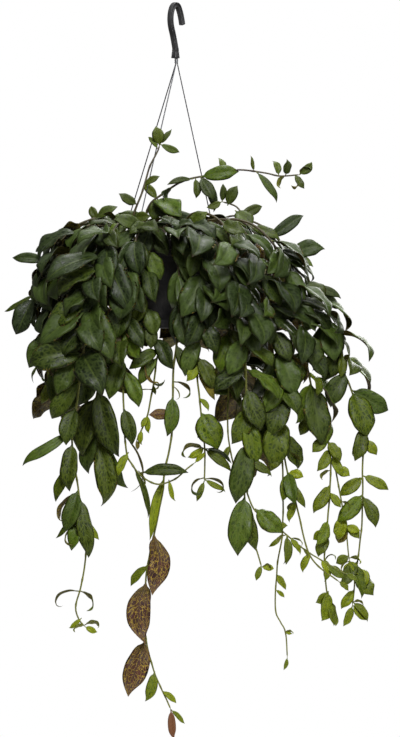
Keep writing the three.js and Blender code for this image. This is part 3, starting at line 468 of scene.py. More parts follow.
rim, wall, base = RIM["radius"], POT["wall"], POT["base"]
outer = np.vstack([
    [(0, base), (30, base), (POT["foot_radius"] - 6, base), (POT["foot_radius"] - 2.2, base)],
    [(POT["foot_radius"] - 0.5, base + 0.5), (POT["foot_radius"], base + 2.2)],
    [(POT["foot_radius"], foot_top - 0.6), (POT["foot_radius"] - 0.5, foot_top)],
    wall_profile(POT["base_radius"], POT["neck_radius"], 64),
    [(rim - 1.6, neck_z), (rim - 0.4, neck_z + 0.5), (rim, neck_z + 2)],
    [(rim - 0.5, neck_z + 4), (rim - 0.5, RIM["top"] - 3.4), (rim, RIM["top"] - 2.2)],
    [(rim - 0.3, RIM["top"] - 0.5), (rim - 1.2, RIM["top"]), (rim - 2.3, RIM["top"] - 0.4)],
    [(rim - RIM["wall"], RIM["top"] - 1.6), (rim - RIM["wall"], neck_z + RIM["wall"] + 0.5)],
    [(POT["neck_radius"] - wall, neck_z + RIM["wall"]), (POT["neck_radius"] - wall, neck_z)],
    [(POT["base_radius"] - wall, foot_top), (POT["base_radius"] - wall, base + POT["floor"])],
    [(40, base + POT["floor"]), (0, base + POT["floor"])],
])
pot_plastic = plastic_material("pot_plastic", (16, 16, 19), (60, 57, 54), 0.5, 0.4)
pot = add_piece("pot_shell", *turned(outer, 120, POT_X), [pot_plastic], ["pot"], "pot_plastic")


def drilled(piece, holes):
    """Cuts round holes: each is a centre, a direction, a radius and a length."""
    parts = []
    turn = np.linspace(0, 2 * math.pi, 24, endpoint=False)
    for centre, direction, radius, length in holes:
        direction = np.asarray(direction, float)
        first = (0, 0, 1) if abs(direction[2]) < 0.5 else (1, 0, 0)
        path = np.asarray(centre) + np.outer([-0.5, 0.5], direction * length)
        section = radius * np.stack([np.cos(turn), np.sin(turn)], -1)
        points, faces = carried(path, section, first)
        parts.append(capped(points, faces, 2, len(turn)))
    cutter = add_piece("cutter", *joined(parts), [])
    cut = piece.modifiers.new("holes", "BOOLEAN")
    cut.object, cut.solver = cutter, "EXACT"
    bpy.context.view_layer.update()
    graph = bpy.context.evaluated_depsgraph_get()
    done = bpy.data.meshes.new_from_object(piece.evaluated_get(graph))
    piece.modifiers.remove(cut)
    piece.data = done
    bpy.data.objects.remove(cutter)


holes = []
for i in range(DRAIN["holes"]):
    turn = 2 * math.pi * (i + 0.5) / DRAIN["holes"]
    x, y = DRAIN["circle"] * math.cos(turn), DRAIN["circle"] * math.sin(turn)
    centre = (POT_X + x, y, base + 1.5)
    holes.append((centre, (0, 0, 1), DRAIN["radius"], 12))
for angle in WIRE_ANGLES.values():
    out = (math.cos(math.radians(angle)), math.sin(math.radians(angle)), 0)
    centre = np.array([POT_X, 0, RIM["top"] - LUG["drop"] - 0.35]) + (rim - 1) * np.array(out)
    holes.append((centre, out, WIRE_RADIUS + 0.7, 12))
drilled(pot, holes)
sharp_edges(pot, 35)

# ================================================================ the soil
# The pot is filled with a dark peat mix, lumpy on top, with pale grit and bark among it.
SOIL = {"top": -391.0, "crumbs": 420}


def lumps(x, y):
    """Height of the soil's top: waves of falling length and height that cross each other."""
    height = 0 * x
    for k, (length, deep) in enumerate([(34, 1.3), (17, 1.0), (9, 0.8), (5.2, 0.55)]):
        turn = 0.7 + 1.9 * k
        one, two = x * np.cos(turn) + y * np.sin(turn), y * np.cos(turn) - x * np.sin(turn)
        height = height + deep * np.sin(one * 6.28 / length + k) * np.cos(two * 6.28 / length)
    return height


edge = POT["neck_radius"] - wall - 0.4
turn = np.linspace(0, 2 * math.pi, 150, endpoint=False)[None, :]
radius = np.linspace(0, edge, 56)[:, None]
x, y = radius * np.cos(turn), radius * np.sin(turn)
z = SOIL["top"] - 0.6 + lumps(x, y) * np.clip((edge - radius) / 6, 0.25, 1)
z = z + 0.6 * (1 - radius / edge)
top_points = np.stack([x + POT_X, y, z], -1).reshape(-1, 3)
low_edge, low = POT["base_radius"] - wall - 0.4, base + POT["floor"] + 0.4
below = [(edge, SOIL["top"] - 4), (low_edge, foot_top), (low_edge, low), (0, low)]
low_points, _ = turned(below, 150, POT_X)
points = np.vstack([top_points, low_points])
bed = (points, grid_faces(60, 150, True))

# A crumb is a ball of few faces, squashed and knocked out of round.
rng = np.random.default_rng(11)
ball_turn = np.linspace(0, 2 * math.pi, 7, endpoint=False)[None, :]
ball_rise = np.linspace(-math.pi / 2, math.pi / 2, 5)[:, None]
ball = np.stack([
    np.cos(ball_rise) * np.cos(ball_turn), np.cos(ball_rise) * np.sin(ball_turn),
    np.sin(ball_rise) + 0 * ball_turn,
], -1).reshape(-1, 3)
crumbs = []
for _ in range(SOIL["crumbs"]):
    at, around = (edge - 4) * math.sqrt(rng.random()), rng.random() * 2 * math.pi
    cx, cy = at * math.cos(around), at * math.sin(around)
    size = rng.uniform(0.9, 2.4) * np.array([1, rng.uniform(0.5, 1), rng.uniform(0.35, 0.8)])
    knock = 0.25 * rng.standard_normal((len(ball), 1)) * (np.abs(ball[:, 2:]) < 0.9)
    knocked = ball * size * (1 + knock)
    spin = rng.random() * 6.28
    c, s = math.cos(spin), math.sin(spin)
    level = knocked[:, :2] @ np.array([[c, s], [-s, c]]) + [cx + POT_X, cy]
    high = SOIL["top"] + float(lumps(cx, cy))
    crumbs.append((np.column_stack([level, knocked[:, 2] + high]), grid_faces(5, 7, True)))

soil_mix, shader, principled = new_material("soil")
place = shader.object_place()
clods = shader.noise(place, 260.0, 8.0, 0.75)
grit = shader.node("TexVoronoi")
shader.put(place, grit.inputs["Vector"])
grit.inputs["Scale"].default_value = 420.0
pale = shader.times(shader.ramp(grit.outputs["Distance"], 0.16, 0.1), shader.ramp(clods, 0.5, 0.56))
earth = shader.mix(shader.ramp(clods, 0.3, 0.72), linear((30, 20, 13)), linear((88, 62, 42)))
shader.put(shader.mix(pale, earth, linear((196, 190, 176))), principled.inputs["Base Color"])
shader.put(shader.ramp(clods, 0.2, 0.8, 0.98, 0.8), principled.inputs["Roughness"])
shader.put(shader.bump(clods, 0.9, 0.0015), principled.inputs["Normal"])
add_piece("soil_bed", *joined([bed, *crumbs]), [soil_mix], ["soil"], "soil")

# ================================================================ the leafy stems
# Thin woody stems rise from the soil, arch over the rim and trail. They carry firm, waxy,
# pointed leaves on short stalks: dark green with a pale net of veins above, and below yellow
# green, marbled with maroon. Each stem with its leaves stands for one solid.
# A stem has one or more routes, the first from the soil, and the leaves that show at the front:
#   leaves, sprouts: foot x, foot z, tip x, tip z, width, how far the tip comes forward. Leaves
#     are in the solids too, in the same order, and sprouts only here.
#   curls: foot x, foot z, heading in degrees, length, width, how far it rolls up in radians.
#   pairs: the shares of its length between which it also carries leaves in pairs.
# Some leaves are named by number, which is a leaf's row, 900 and on for sprouts and 950 and on
# for curls: turned ones show their underside, fresh ones are pale green, faded ones brown and
# ochre ones yellow brown. bows gives the sideways bow of a leaf as a share of its length.
stems = [
    {
        "name": "stem_climber",
        "routes": [
            [
                (-58, -58, -401), (-68, -70, -362), (-68, -84, -338), (-54, -82, -301),
                (-41, -72, -258), (-28, -62, -231), (-25, -58, -221),
            ],
        ],
        "leaves": [
            (-47, -287, -25, -272, 11, 4), (-26, -222, -31, -192, 20, 6),
            (-25, -221, 8, -233, 12, -4), (-60, -318, -90, -300, 16, 10),
            (-66, -340, -40, -335, 18, 14),
        ],
        "sprouts": [
            (-25, -220, -5, -197, 9, 0), (-28, -228, -44, -208, 8, -6),
        ],
        "pairs": None,
    },
    {
        "name": "stem_arch_right",
        "routes": [
            [
                (-52, -18, -401), (-50, -20, -350), (-41, -20, -317), (-20, -20, -299),
                (4, -20, -283), (28, -20, -274), (79, -22, -266), (103, -24, -261),
                (143, -28, -266), (167, -30, -271), (198, -34, -269),
            ],
        ],
        "leaves": [
            (27, -272, -14, -285, 10, 8), (32, -275, 34, -307, 13, 6), (40, -272, 103, -261, 22, 4),
            (40, -274, 63, -309, 22, 14), (44, -273, 66, -330, 16, 0),
            (129, -264, 166, -312, 12, 10), (165, -271, 157, -245, 13, -8),
            (176, -271, 180, -244, 14, 6), (190, -270, 205, -292, 12, 6),
            (198, -269, 220, -249, 14, 0), (80, -266, 70, -240, 12, -10),
            (-30, -307, -52, -282, 14, -10), (-40, -320, 56, -350, 24, 30),
            (-49, -340, -92, -332, 20, 12),
        ],
        "sprouts": [
            (125, -263, 122, -238, 7, 4), (-30, -306, -38, -344, 26, 16),
        ],
        "curls": [
            (-4, -287, 205, 46, 24, 2.8), (176, -271, 215, 30, 14, 1.8),
            (192, -270, -60, 32, 12, -2.6), (198, -269, 60, 26, 14, -1.6),
        ],
        "turned": (950,),
        "ochre": (951, 952),
        "pairs": None,
    },
    {
        "name": "stem_sprig_right",
        "routes": [
            [
                (14, -14, -401), (44, -18, -356), (84, -24, -336), (105, -25, -334),
                (99, -24, -321), (86, -22, -315), (74, -20, -312),
            ],
        ],
        "leaves": [
            (74, -313, 76, -283, 12, 6), (85, -315, 99, -286, 19, 4), (98, -322, 122, -355, 29, 16),
            (104, -334, 140, -318, 18, -6), (74, -312, 50, -322, 12, 4),
        ],
        "pairs": (0.45, 1),
    },
    {
        "name": "stem_shoulder_right",
        "routes": [
            [
                (42, -15, -401), (45, -23, -362), (90, -48, -340), (119, -57, -352),
                (138, -56, -364), (159, -56, -374), (178, -58, -399), (191, -60, -418),
                (207, -62, -434), (218, -64, -445), (231, -66, -469), (239, -68, -485),
                (263, -72, -541), (268, -74, -581), (279, -76, -610), (298, -77, -665),
                (298, -78, -741), (298, -78, -790), (296, -78, -837), (290, -78, -885),
                (286, -78, -915), (282, -78, -956),
            ],
        ],
        "leaves": [
            (119, -356, 168, -372, 19, 16), (150, -369, 205, -330, 19, -8),
            (180, -399, 239, -384, 26, 4), (183, -404, 222, -412, 20, 20),
            (218, -445, 266, -464, 16, 0), (210, -437, 231, -478, 32, 18),
            (221, -450, 262, -486, 19, -14), (245, -498, 252, -568, 40, 22),
            (266, -552, 262, -594, 16, 10), (281, -614, 305, -689, 38, 14),
            (281, -612, 340, -646, 32, -10), (296, -672, 285, -726, 25, 12),
            (298, -752, 260, -781, 21, 6), (298, -749, 341, -771, 18, 4),
            (298, -779, 256, -823, 26, 12), (298, -781, 321, -831, 22, 10),
            (297, -690, 322, -716, 18, 6), (289, -895, 304, -925, 20, 14),
            (289, -893, 323, -937, 30, 12), (290, -885, 266, -925, 24, 12),
            (283, -950, 308, -981, 14, 6), (282, -956, 268, -990, 14, 4),
        ],
        "curls": [
            (297, -700, 200, 30, 12, 1.6), (298, -752, 200, 24, 12, 1.5),
            (283, -950, 10, 22, 10, -1.6),
        ],
        "sprouts": [
            (288, -905, 314, -940, 28, 12), (282, -955, 306, -980, 16, 4),
            (284, -930, 262, -960, 16, 6), (263, -541, 236, -600, 32, 10),
            (268, -585, 244, -640, 30, 12), (245, -500, 216, -560, 32, 14),
            (231, -469, 206, -520, 30, 14),
        ],
        "pairs": None,
    },
    {
        "name": "stem_shoulder_left",
        "routes": [
            [
                (-93, 7, -401), (-104, 6, -352), (-121, 0, -338), (-153, -6, -347),
                (-175, -12, -365), (-190, -18, -384), (-204, -24, -408), (-214, -28, -434),
                (-226, -32, -466),
            ],
        ],
        "leaves": [
            (-161, -352, -192, -385, 22, 10), (-180, -370, -228, -391, 16, -6),
            (-204, -407, -263, -403, 16, -2), (-204, -411, -190, -444, 19, 16),
            (-226, -464, -254, -527, 32, 8), (-121, -338, -138, -318, 14, -8),
            (-126, -338, -92, -320, 18, 12),
        ],
        "sprouts": [
            (-224, -460, -276, -490, 9, -12),
        ],
        "pairs": (0.5, 1),
    },
    {
        "name": "stem_left_edge",
        "routes": [
            [
                (-88, -10, -401), (-102, -20, -354), (-130, -36, -356), (-165, -48, -385),
                (-190, -58, -440), (-200, -64, -510), (-203, -66, -570), (-202, -66, -602),
            ],
        ],
        "leaves": [
            (-193, -450, -201, -543, 30, 14), (-202, -600, -213, -636, 15, 4),
            (-202, -585, -180, -650, 22, 16), (-200, -520, -232, -580, 28, -8),
        ],
        "pairs": (0.35, 1),
    },
    {
        "name": "stem_left_front",
        "routes": [
            [
                (-76, -38, -401), (-92, -58, -352), (-122, -84, -372), (-134, -104, -440),
                (-134, -112, -510), (-128, -116, -570), (-124, -118, -620), (-122, -119, -700),
            ],
        ],
        "leaves": [
            (-127, -572, -186, -610, 38, 14), (-124, -620, -152, -720, 37, 12),
            (-134, -509, -127, -580, 27, 18), (-131, -540, -104, -612, 34, 10),
            (-124, -611, -92, -722, 40, 16), (-122, -690, -107, -798, 32, 10),
            (-123, -655, -146, -752, 34, 20), (-122, -672, -82, -776, 26, -6),
            (-124, -600, -188, -652, 15, -10), (-110, -366, -186, -466, 35, 16),
            (-122, -430, -112, -516, 30, 24), (-100, -356, -128, -391, 26, 24),
        ],
        "sprouts": [
            (-128, -570, -150, -640, 34, 16), (-134, -480, -168, -540, 34, 14),
        ],
        "pairs": (0.3, 0.75),
    },
    {
        "name": "stem_left_long",
        "routes": [
            [
                (-70, -48, -401), (-72, -54, -362), (-88, -88, -346), (-108, -128, -384),
                (-128, -146, -450), (-144, -152, -540), (-154, -152, -620), (-164, -150, -690),
                (-152, -148, -780), (-145, -146, -830), (-142, -144, -877), (-150, -142, -925),
                (-158, -141, -957), (-153, -141, -976), (-143, -141, -988),
            ],
        ],
        "leaves": [
            (-162, -680, -249, -730, 17, 4), (-163, -695, -170, -775, 26, 14),
            (-157, -728, -192, -792, 17, -8), (-154, -770, -176, -840, 26, 6),
            (-146, -812, -166, -868, 22, 14), (-152, -781, -139, -880, 29, 12),
            (-148, -800, -190, -850, 10, -4), (-143, -988, -124, -998, 10, 2),
            (-140, -510, -182, -560, 34, 18), (-130, -455, -168, -500, 32, 20),
            (-152, -600, -198, -660, 28, -10), (-147, -815, -120, -850, 14, 8),
        ],
        "sprouts": [
            (-153, -976, -168, -992, 8, 0), (-154, -640, -176, -700, 28, 10),
            (-150, -560, -190, -620, 32, 10),
        ],
        "curls": [
            (-163, -834, 172, 80, 10, 5.4), (-155, -775, 208, 74, 13, 1.9),
            (-151, -932, 172, 66, 9, 2.7), (-150, -931, -25, 50, 13, -2.2),
            (-145, -986, 35, 34, 14, -2.4), (-145, -986, 180, 24, 14, 1.6),
        ],
        "ochre": (950,),
        "pairs": (0.16, 0.5),
    },
    {
        "name": "stem_loop",
        "routes": [
            [
                (-46, -58, -401), (-47, -64, -364), (-52, -104, -348), (-70, -130, -400),
                (-80, -134, -480), (-82, -136, -560), (-82, -136, -640), (-78, -136, -709),
                (-70, -136, -728), (-54, -137, -749), (-28, -138, -762), (-1, -138, -754),
                (18, -137, -738), (31, -136, -728),
            ],
        ],
        "leaves": [
            (-77, -712, -92, -750, 14, 8), (-57, -746, 22, -742, 18, 10),
            (-75, -465, -92, -532, 30, 16), (-80, -560, -104, -628, 30, 14),
            (-82, -580, -56, -640, 24, 12), (-82, -640, -66, -700, 22, 8),
            (-66, -372, -46, -418, 28, 8), (-54, -350, -98, -338, 24, 12),
            (-81, -510, -60, -566, 28, 8), (-68, -396, -94, -446, 30, 12),
            (-76, -436, -54, -492, 26, 14),
        ],
        "sprouts": [
            (-66, -735, -41, -818, 9, -6), (31, -728, 48, -712, 8, 0), (-10, -757, -2, -790, 8, 4),
            (-62, -350, -128, -392, 24, 28), (-80, -470, -112, -512, 26, 14),
            (-66, -372, -96, -430, 30, 20),
        ],
        "curls": [
            (-70, -684, -52, 106, 7, -1.4), (-67, -750, -50, 30, 9, -0.9),
        ],
        "pairs": (0.25, 0.6),
    },
    {
        "name": "stem_centre_left",
        "routes": [
            [
                (-32, -60, -401), (-33, -66, -364), (-38, -98, -350), (-46, -112, -400),
                (-48, -112, -470), (-40, -110, -515), (-26, -108, -541), (-30, -108, -568),
                (-35, -108, -605), (-41, -108, -637), (-46, -108, -658), (-54, -108, -677),
                (-62, -108, -694),
            ],
        ],
        "leaves": [
            (-45, -390, -22, -439, 30, 8), (-48, -420, -72, -472, 28, 16),
            (-42, -505, -38, -548, 22, 8), (-28, -548, -74, -580, 22, 18),
            (-30, -560, -58, -606, 20, 10), (-45, -655, -54, -672, 10, 6),
            (-41, -362, -10, -398, 26, 10), (-36, -348, -76, -362, 24, 16),
            (-46, -395, -66, -438, 26, 16), (-47, -462, -66, -508, 26, 10),
        ],
        "sprouts": [
            (-35, -605, -31, -620, 6, 4), (-62, -692, -60, -708, 7, 2),
            (-46, -652, -44, -682, 10, 4), (-54, -676, -56, -700, 9, 2),
            (-36, -530, -8, -582, 26, 10), (-47, -416, -38, -478, 32, 14),
            (-48, -470, -71, -536, 38, 18), (-44, -480, -33, -528, 30, 14),
            (-40, -350, -62, -408, 30, 22), (-38, -352, -10, -392, 30, 22),
        ],
        "curls": [
            (-30, -548, 232, 88, 20, 2.7), (-36, -612, 5, 30, 7, 5.0),
            (-36, -612, 176, 50, 3.5, 2.9), (-34, -569, 168, 44, 14, 1.5),
            (-56, -676, 250, 26, 12, 1.2),
        ],
        "ochre": (951, 953, 954, 901),
        "pairs": None,
    },
    {
        "name": "stem_centre_long",
        "routes": [
            [
                (-14, -60, -401), (-8, -94, -352), (2, -110, -390), (6, -112, -440),
                (5, -112, -510), (-3, -112, -581), (-4, -112, -630), (-6, -112, -687),
                (-17, -113, -741), (-20, -114, -773), (-31, -115, -829), (-43, -116, -885),
                (-47, -116, -917), (-49, -116, -960), (-47, -116, -1005), (-36, -116, -1053),
                (-23, -116, -1085), (-7, -116, -1120),
            ],
        ],
        "leaves": [
            (-3, -621, -12, -687, 22, 10), (-5, -650, -42, -652, 18, 4),
            (-18, -746, -38, -853, 13, 10), (-33, -839, -41, -937, 32, 12),
            (-47, -914, -52, -1014, 35, 12), (-48, -1008, -79, -1097, 35, 10),
            (-34, -1060, -45, -1108, 18, 8), (-7, -1120, -4, -1168, 13, 6),
            (3, -372, 28, -422, 34, 8), (5, -450, 24, -508, 28, 10), (4, -405, 30, -452, 32, 14),
            (5, -484, 20, -546, 28, 14), (5, -430, 10, -486, 22, 20), (2, -540, 20, -590, 18, 8),
            (-44, -890, -72, -925, 14, -8), (-20, -1090, 2, -1110, 10, 4),
        ],
        "sprouts": [
            (4, -418, -2, -486, 28, -12), (5, -470, 4, -540, 26, -10),
            (-7, -1120, 14, -1144, 8, 2),
        ],
        "turned": (1, 3, 4, 5),
        "fresh": (2,),
        "bows": {3: -0.12, 4: 0.09, 5: -0.02},
        "faded": (7,),
        "curls": [
            (4, -600, 0, 54, 12, -3.0), (2, -606, -40, 30, 4, -1.7),
        ],
        "pairs": None,
    },
    {
        "name": "stem_centre_right",
        "routes": [
            [
                (2, -58, -401), (5, -64, -364), (22, -94, -348), (38, -118, -385), (42, -122, -440),
                (39, -124, -520), (35, -124, -581), (37, -124, -613), (41, -124, -650),
                (44, -124, -680), (47, -124, -709), (46, -124, -757),
            ],
        ],
        "leaves": [
            (42, -647, 71, -707, 40, 14), (43, -669, 36, -689, 13, 6), (47, -706, 91, -741, 16, 6),
            (46, -755, 82, -772, 10, 2), (47, -705, 20, -721, 12, 4), (42, -432, 58, -518, 34, 12),
            (34, -366, 71, -396, 24, 16), (18, -350, 52, -330, 22, 10),
            (38, -386, 22, -434, 26, 22), (41, -470, 20, -528, 26, 12),
            (40, -500, 66, -556, 28, 12), (40, -404, 64, -446, 28, 10), (38, -530, 14, -592, 26, 6),
            (37, -560, 60, -612, 26, 10), (46, -757, 34, -790, 10, 4),
        ],
        "sprouts": [
            (39, -625, 54, -645, 9, 8), (37, -566, 20, -600, 18, 10), (39, -514, 24, -552, 28, 14),
            (37, -584, 62, -630, 14, 6),
        ],
        "curls": [
            (46, -752, 190, 60, 10, 4.6), (46, -754, 10, 56, 11, -3.0),
            (42, -706, 160, 52, 18, 2.3), (47, -706, 2, 56, 18, -1.7), (42, -667, 236, 28, 16, 2.2),
        ],
        "turned": (953, 954),
        "fresh": (901,),
        "ochre": (903,),
        "pairs": (0.3, 0.75),
    },
    {
        "name": "stem_right_thin",
        "routes": [
            [
                (15, -54, -401), (18, -58, -364), (44, -90, -348), (72, -106, -395),
                (82, -104, -480), (85, -106, -560), (85, -106, -605), (83, -106, -669),
                (89, -106, -717), (98, -106, -752),
            ],
        ],
        "leaves": [
            (76, -437, 100, -516, 35, 22), (84, -520, 70, -588, 26, 12),
            (85, -600, 104, -640, 16, 8), (88, -700, 74, -728, 10, 4),
        ],
        "sprouts": [
            (98, -752, 118, -776, 9, 2), (76, -440, 64, -504, 30, 14),
            (84, -514, 111, -556, 26, 12), (74, -404, 98, -452, 30, 18),
        ],
        "pairs": (0.3, 0.75),
    },
    {
        "name": "stem_right_front",
        "routes": [
            [
                (6, -38, -401), (12, -50, -350), (38, -80, -330), (80, -126, -356),
                (102, -138, -450), (110, -144, -540), (113, -146, -620), (114, -147, -690),
                (112, -148, -740), (110, -148, -780), (118, -148, -830), (129, -148, -867),
                (137, -148, -893),
            ],
            [
                (111, -148, -768), (124, -150, -800), (140, -152, -814), (167, -154, -834),
                (199, -155, -861), (231, -155, -882), (271, -155, -904),
            ],
        ],
        "leaves": [
            (114, -693, 92, -793, 35, 12), (111, -778, 97, -876, 35, 14),
            (113, -790, 129, -868, 22, 6), (137, -893, 157, -896, 11, 0),
            (137, -890, 128, -915, 10, 4), (128, -800, 172, -838, 32, 14),
            (177, -842, 175, -889, 13, 6), (231, -882, 244, -905, 10, 2),
            (271, -904, 290, -914, 10, 0), (92, -404, 120, -455, 30, 20),
            (102, -462, 146, -520, 28, 18), (74, -346, 112, -362, 26, 18),
            (106, -500, 132, -560, 34, 12), (108, -530, 84, -590, 32, 16),
            (113, -610, 140, -676, 34, 12), (113, -640, 92, -700, 28, 10),
            (113, -655, 128, -738, 34, 18), (160, -825, 178, -826, 12, 6),
        ],
        "sprouts": [
            (187, -850, 200, -873, 8, 2), (137, -722, 156, -746, 16, 2),
            (176, -845, 175, -890, 14, 8), (183, -846, 198, -868, 10, 4),
        ],
        "curls": [
            (176, -842, 200, 24, 9, 1.3), (184, -846, 0, 26, 7, -1.5),
            (199, -861, -40, 24, 9, -0.9), (137, -893, 20, 20, 12, -1.8),
        ],
        "pairs": (0.2, 0.7),
    },
    {
        "name": "stem_right_column",
        "routes": [
            [
                (26, -42, -401), (29, -47, -362), (58, -76, -342), (104, -102, -354),
                (140, -110, -430), (152, -112, -500), (162, -115, -550), (167, -117, -600),
                (168, -118, -655), (170, -118, -700), (180, -118, -750), (191, -118, -789),
                (202, -119, -837), (212, -120, -872), (228, -120, -893), (260, -120, -917),
            ],
            [
                (169, -118, -690), (171, -112, -770), (170, -108, -840), (162, -106, -893),
                (159, -106, -960), (167, -106, -981), (175, -106, -997), (178, -106, -1038),
            ],
        ],
        "leaves": [
            (168, -656, 157, -738, 40, 14), (163, -552, 189, -623, 38, 14),
            (155, -517, 184, -568, 29, 20), (182, -754, 208, -800, 14, 8),
            (180, -744, 204, -750, 16, 6), (179, -742, 188, -792, 24, 14),
            (170, -700, 152, -742, 24, 14), (166, -612, 150, -688, 36, 22),
            (191, -789, 178, -822, 12, 6), (212, -872, 200, -902, 12, 4),
            (260, -917, 276, -932, 10, 0), (138, -428, 170, -480, 32, 16),
            (146, -470, 122, -530, 32, 12), (165, -590, 140, -650, 34, 12),
            (169, -680, 200, -742, 32, 10),
        ],
        "sprouts": [
            (169, -845, 148, -862, 8, 4), (161, -930, 174, -942, 7, 2),
            (175, -997, 186, -1000, 6, 0), (178, -1038, 172, -1058, 7, 2),
            (180, -744, 170, -790, 20, 10), (160, -905, 176, -930, 12, 6),
            (162, -550, 136, -606, 30, 14), (167, -600, 196, -650, 32, 18),
            (168, -640, 140, -700, 30, 8),
        ],
        "curls": [
            (172, -714, -5, 40, 14, -1.6), (194, -790, 200, 22, 8, 1.4),
            (175, -997, 20, 16, 8, -1.6),
        ],
        "pairs": (0.15, 0.5),
    },
    {
        "name": "stem_right_outer",
        "routes": [
            [
                (35, -29, -401), (38, -34, -362), (70, -58, -342), (124, -82, -350),
                (172, -94, -405), (192, -98, -480), (205, -100, -550), (216, -101, -605),
                (226, -101, -650), (242, -100, -690), (247, -100, -741), (241, -98, -837),
                (237, -97, -885), (241, -96, -933), (247, -96, -950),
            ],
            [
                (241, -100, -688), (254, -92, -735), (263, -88, -784), (270, -86, -824),
                (277, -84, -885),
            ],
        ],
        "leaves": [
            (216, -600, 234, -700, 40, 16), (224, -640, 236, -706, 29, 6),
            (240, -684, 219, -711, 13, 8), (243, -694, 264, -724, 20, 10),
            (243, -706, 226, -742, 18, 12), (255, -738, 278, -748, 18, 6),
            (268, -812, 258, -852, 24, 12), (272, -832, 294, -848, 16, 4),
            (246, -775, 262, -800, 14, 8), (249, -715, 266, -750, 16, 4),
            (246, -763, 216, -806, 21, 10), (241, -840, 225, -877, 20, 8),
            (241, -838, 218, -850, 16, -6), (270, -822, 280, -856, 18, 8),
            (277, -885, 263, -922, 20, 6), (276, -876, 256, -890, 16, 0),
            (241, -935, 224, -952, 16, 4), (247, -945, 235, -981, 22, 6),
            (247, -950, 256, -992, 14, 2), (200, -520, 226, -580, 34, 10),
            (190, -470, 222, -520, 32, 14), (176, -420, 206, -470, 30, 18),
        ],
        "curls": [
            (232, -662, -80, 36, 5, -0.9), (246, -884, 60, 28, 6, -2.7),
            (270, -900, 200, 38, 7, 3.6), (247, -740, 200, 26, 12, 1.5),
            (262, -790, -20, 24, 12, -1.6), (277, -880, 10, 26, 13, -1.9),
            (247, -948, -60, 30, 12, -1.3),
        ],
        "sprouts": [
            (242, -690, 218, -712, 20, 8), (252, -820, 226, -861, 22, 8),
            (268, -828, 260, -856, 26, 10), (262, -830, 294, -838, 15, 6),
            (246, -892, 268, -913, 15, 6), (274, -888, 284, -902, 13, 4),
            (277, -884, 296, -910, 13, 4), (277, -884, 300, -944, 20, 10),
            (241, -933, 236, -980, 20, 6), (247, -950, 254, -988, 15, 4),
            (240, -880, 240, -918, 14, 6), (205, -550, 176, -610, 34, 14),
            (216, -600, 196, -668, 34, 18), (205, -545, 238, -600, 32, -8),
            (224, -640, 200, -690, 28, 16),
        ],
        "ochre": (902, 952),
        "pairs": (0.12, 0.5),
    },
]

# The other stems fall like a curtain round the sides and back of the pot: bearing from the
# pot's axis, the radius each hangs at, how far below the rim it ends, and its swing.
curtain = [
    (-3, 112, 190, -5), (-150, 110, 170, -4), (-158, 152, 60, 4), (28, 110, 250, 5),
    (70, 112, 160, 4), (110, 110, 150, -4), (150, 110, 260, 4), (18, 150, 330, 4),
    (40, 152, 230, -4), (82, 152, 160, 4), (142, 140, 200, 4), (160, 136, 280, 4),
    (182, 138, 240, -3), (-5, 200, 130, 3), (30, 204, 150, 5), (54, 196, 250, -4),
    (78, 198, 130, 4), (104, 192, 150, 4), (134, 178, 120, -4), (156, 168, 210, 4),
    (171, 164, 110, 3),
]
# Every second joint bears leaves. A leaf of the solids had TRIES attempts and one that fills the
# crown has FILL_TRIES; the gaps are from its points to other leaves, stems and wires. CROWN is
# the dome that the filling keeps under, left of which and in whose open middle it stops.
JOINT_SPACING = 40.0
TRIES, FILL_TRIES = 26, 20
LEAF_GAP, STEM_GAP, WIRE_GAP = 5.6, 3.2, 12.0
CROWN_BOTTOM, CREST_BOTTOM = -590.0, -500.0
ROLL_STEPS, ROLL_POWER = 121, 1.6
RULE_LENGTH, RULE_WIDTH = (60, 108), (0.36, 0.48)
SPROUT_NUMBER, CURL_NUMBER, FILL_NUMBER = 900, 950, 2000
BROAD = 22
LEAF = {"stalk_share": 0.1, "fold": 0.18, "long": 100.0}
CROWN = {"top": -288.0, "slope": 0.4, "left": -236.0, "open_below": -548.0, "open_half": 56.0}
UP = np.array([0, 0, 1.0])


def curtain_route(bearing, reach, drop, swing):
    """A stem that roots near the pot's wall, crests above the rim and hangs at its radius, with
    a slow sway; the bearing turns by swing from root to end."""
    root = 76 - 0.25 * (reach - 100)
    crest = 14 + 0.15 * (reach - 80)
    rim_z = RIM["top"]
    stops = [
        (root, SOIL["top"] - 10), (root + 6, rim_z + 0.6 * crest),
        (0.35 * root + 0.65 * reach - 6, rim_z + crest), (reach - 4, rim_z - 4),
        (reach, rim_z - 50),
    ]
    spans = max(1, math.floor((drop - 50) / 80 + 0.5))
    stops += [
        (reach + 3 * (i % 2), rim_z - 50 - (drop - 50) * i / spans) for i in range(1, spans + 1)
    ]
    route = []
    for i, (radius, z) in enumerate(stops):
        turn = math.radians(bearing + swing * i / (len(stops) - 1))
        sway = 5 * math.sin(1.9 * i + bearing) if i > 3 else 0
        c, s = math.cos(turn), math.sin(turn)
        route.append((
            POT_X + (radius + sway) * c - 1.4 * sway * s, (radius + sway) * s + 1.4 * sway * c, z
        ))
    return route


for i, row in enumerate(curtain):
    stems.append({
        "name": f"stem_curtain_{i + 1:02d}", "routes": [curtain_route(*row)], "leaves": [],
        "pairs": (0.3, 1),
    })


def draws(seed):
    """Numbers from 0 to 1 from a running remainder, the same for the same seed."""
    state = seed
    while True:
        state = (state * 1664525 + 1013904223) % 2**32
        yield state / 2**32


def unit(v):
    """A vector of length 1 in the same direction."""
    return v / np.linalg.norm(v)


def spun(v, axis, turn):
    """A vector turned about a unit axis."""
    c, s = math.cos(turn), math.sin(turn)
    return v * c + np.cross(axis, v) * s + axis * axis.dot(v) * (1 - c)


def outward(p):
    """Away from the pot's axis, level."""
    return unit(np.array([p[0] - POT_X, p[1], 0.0]))


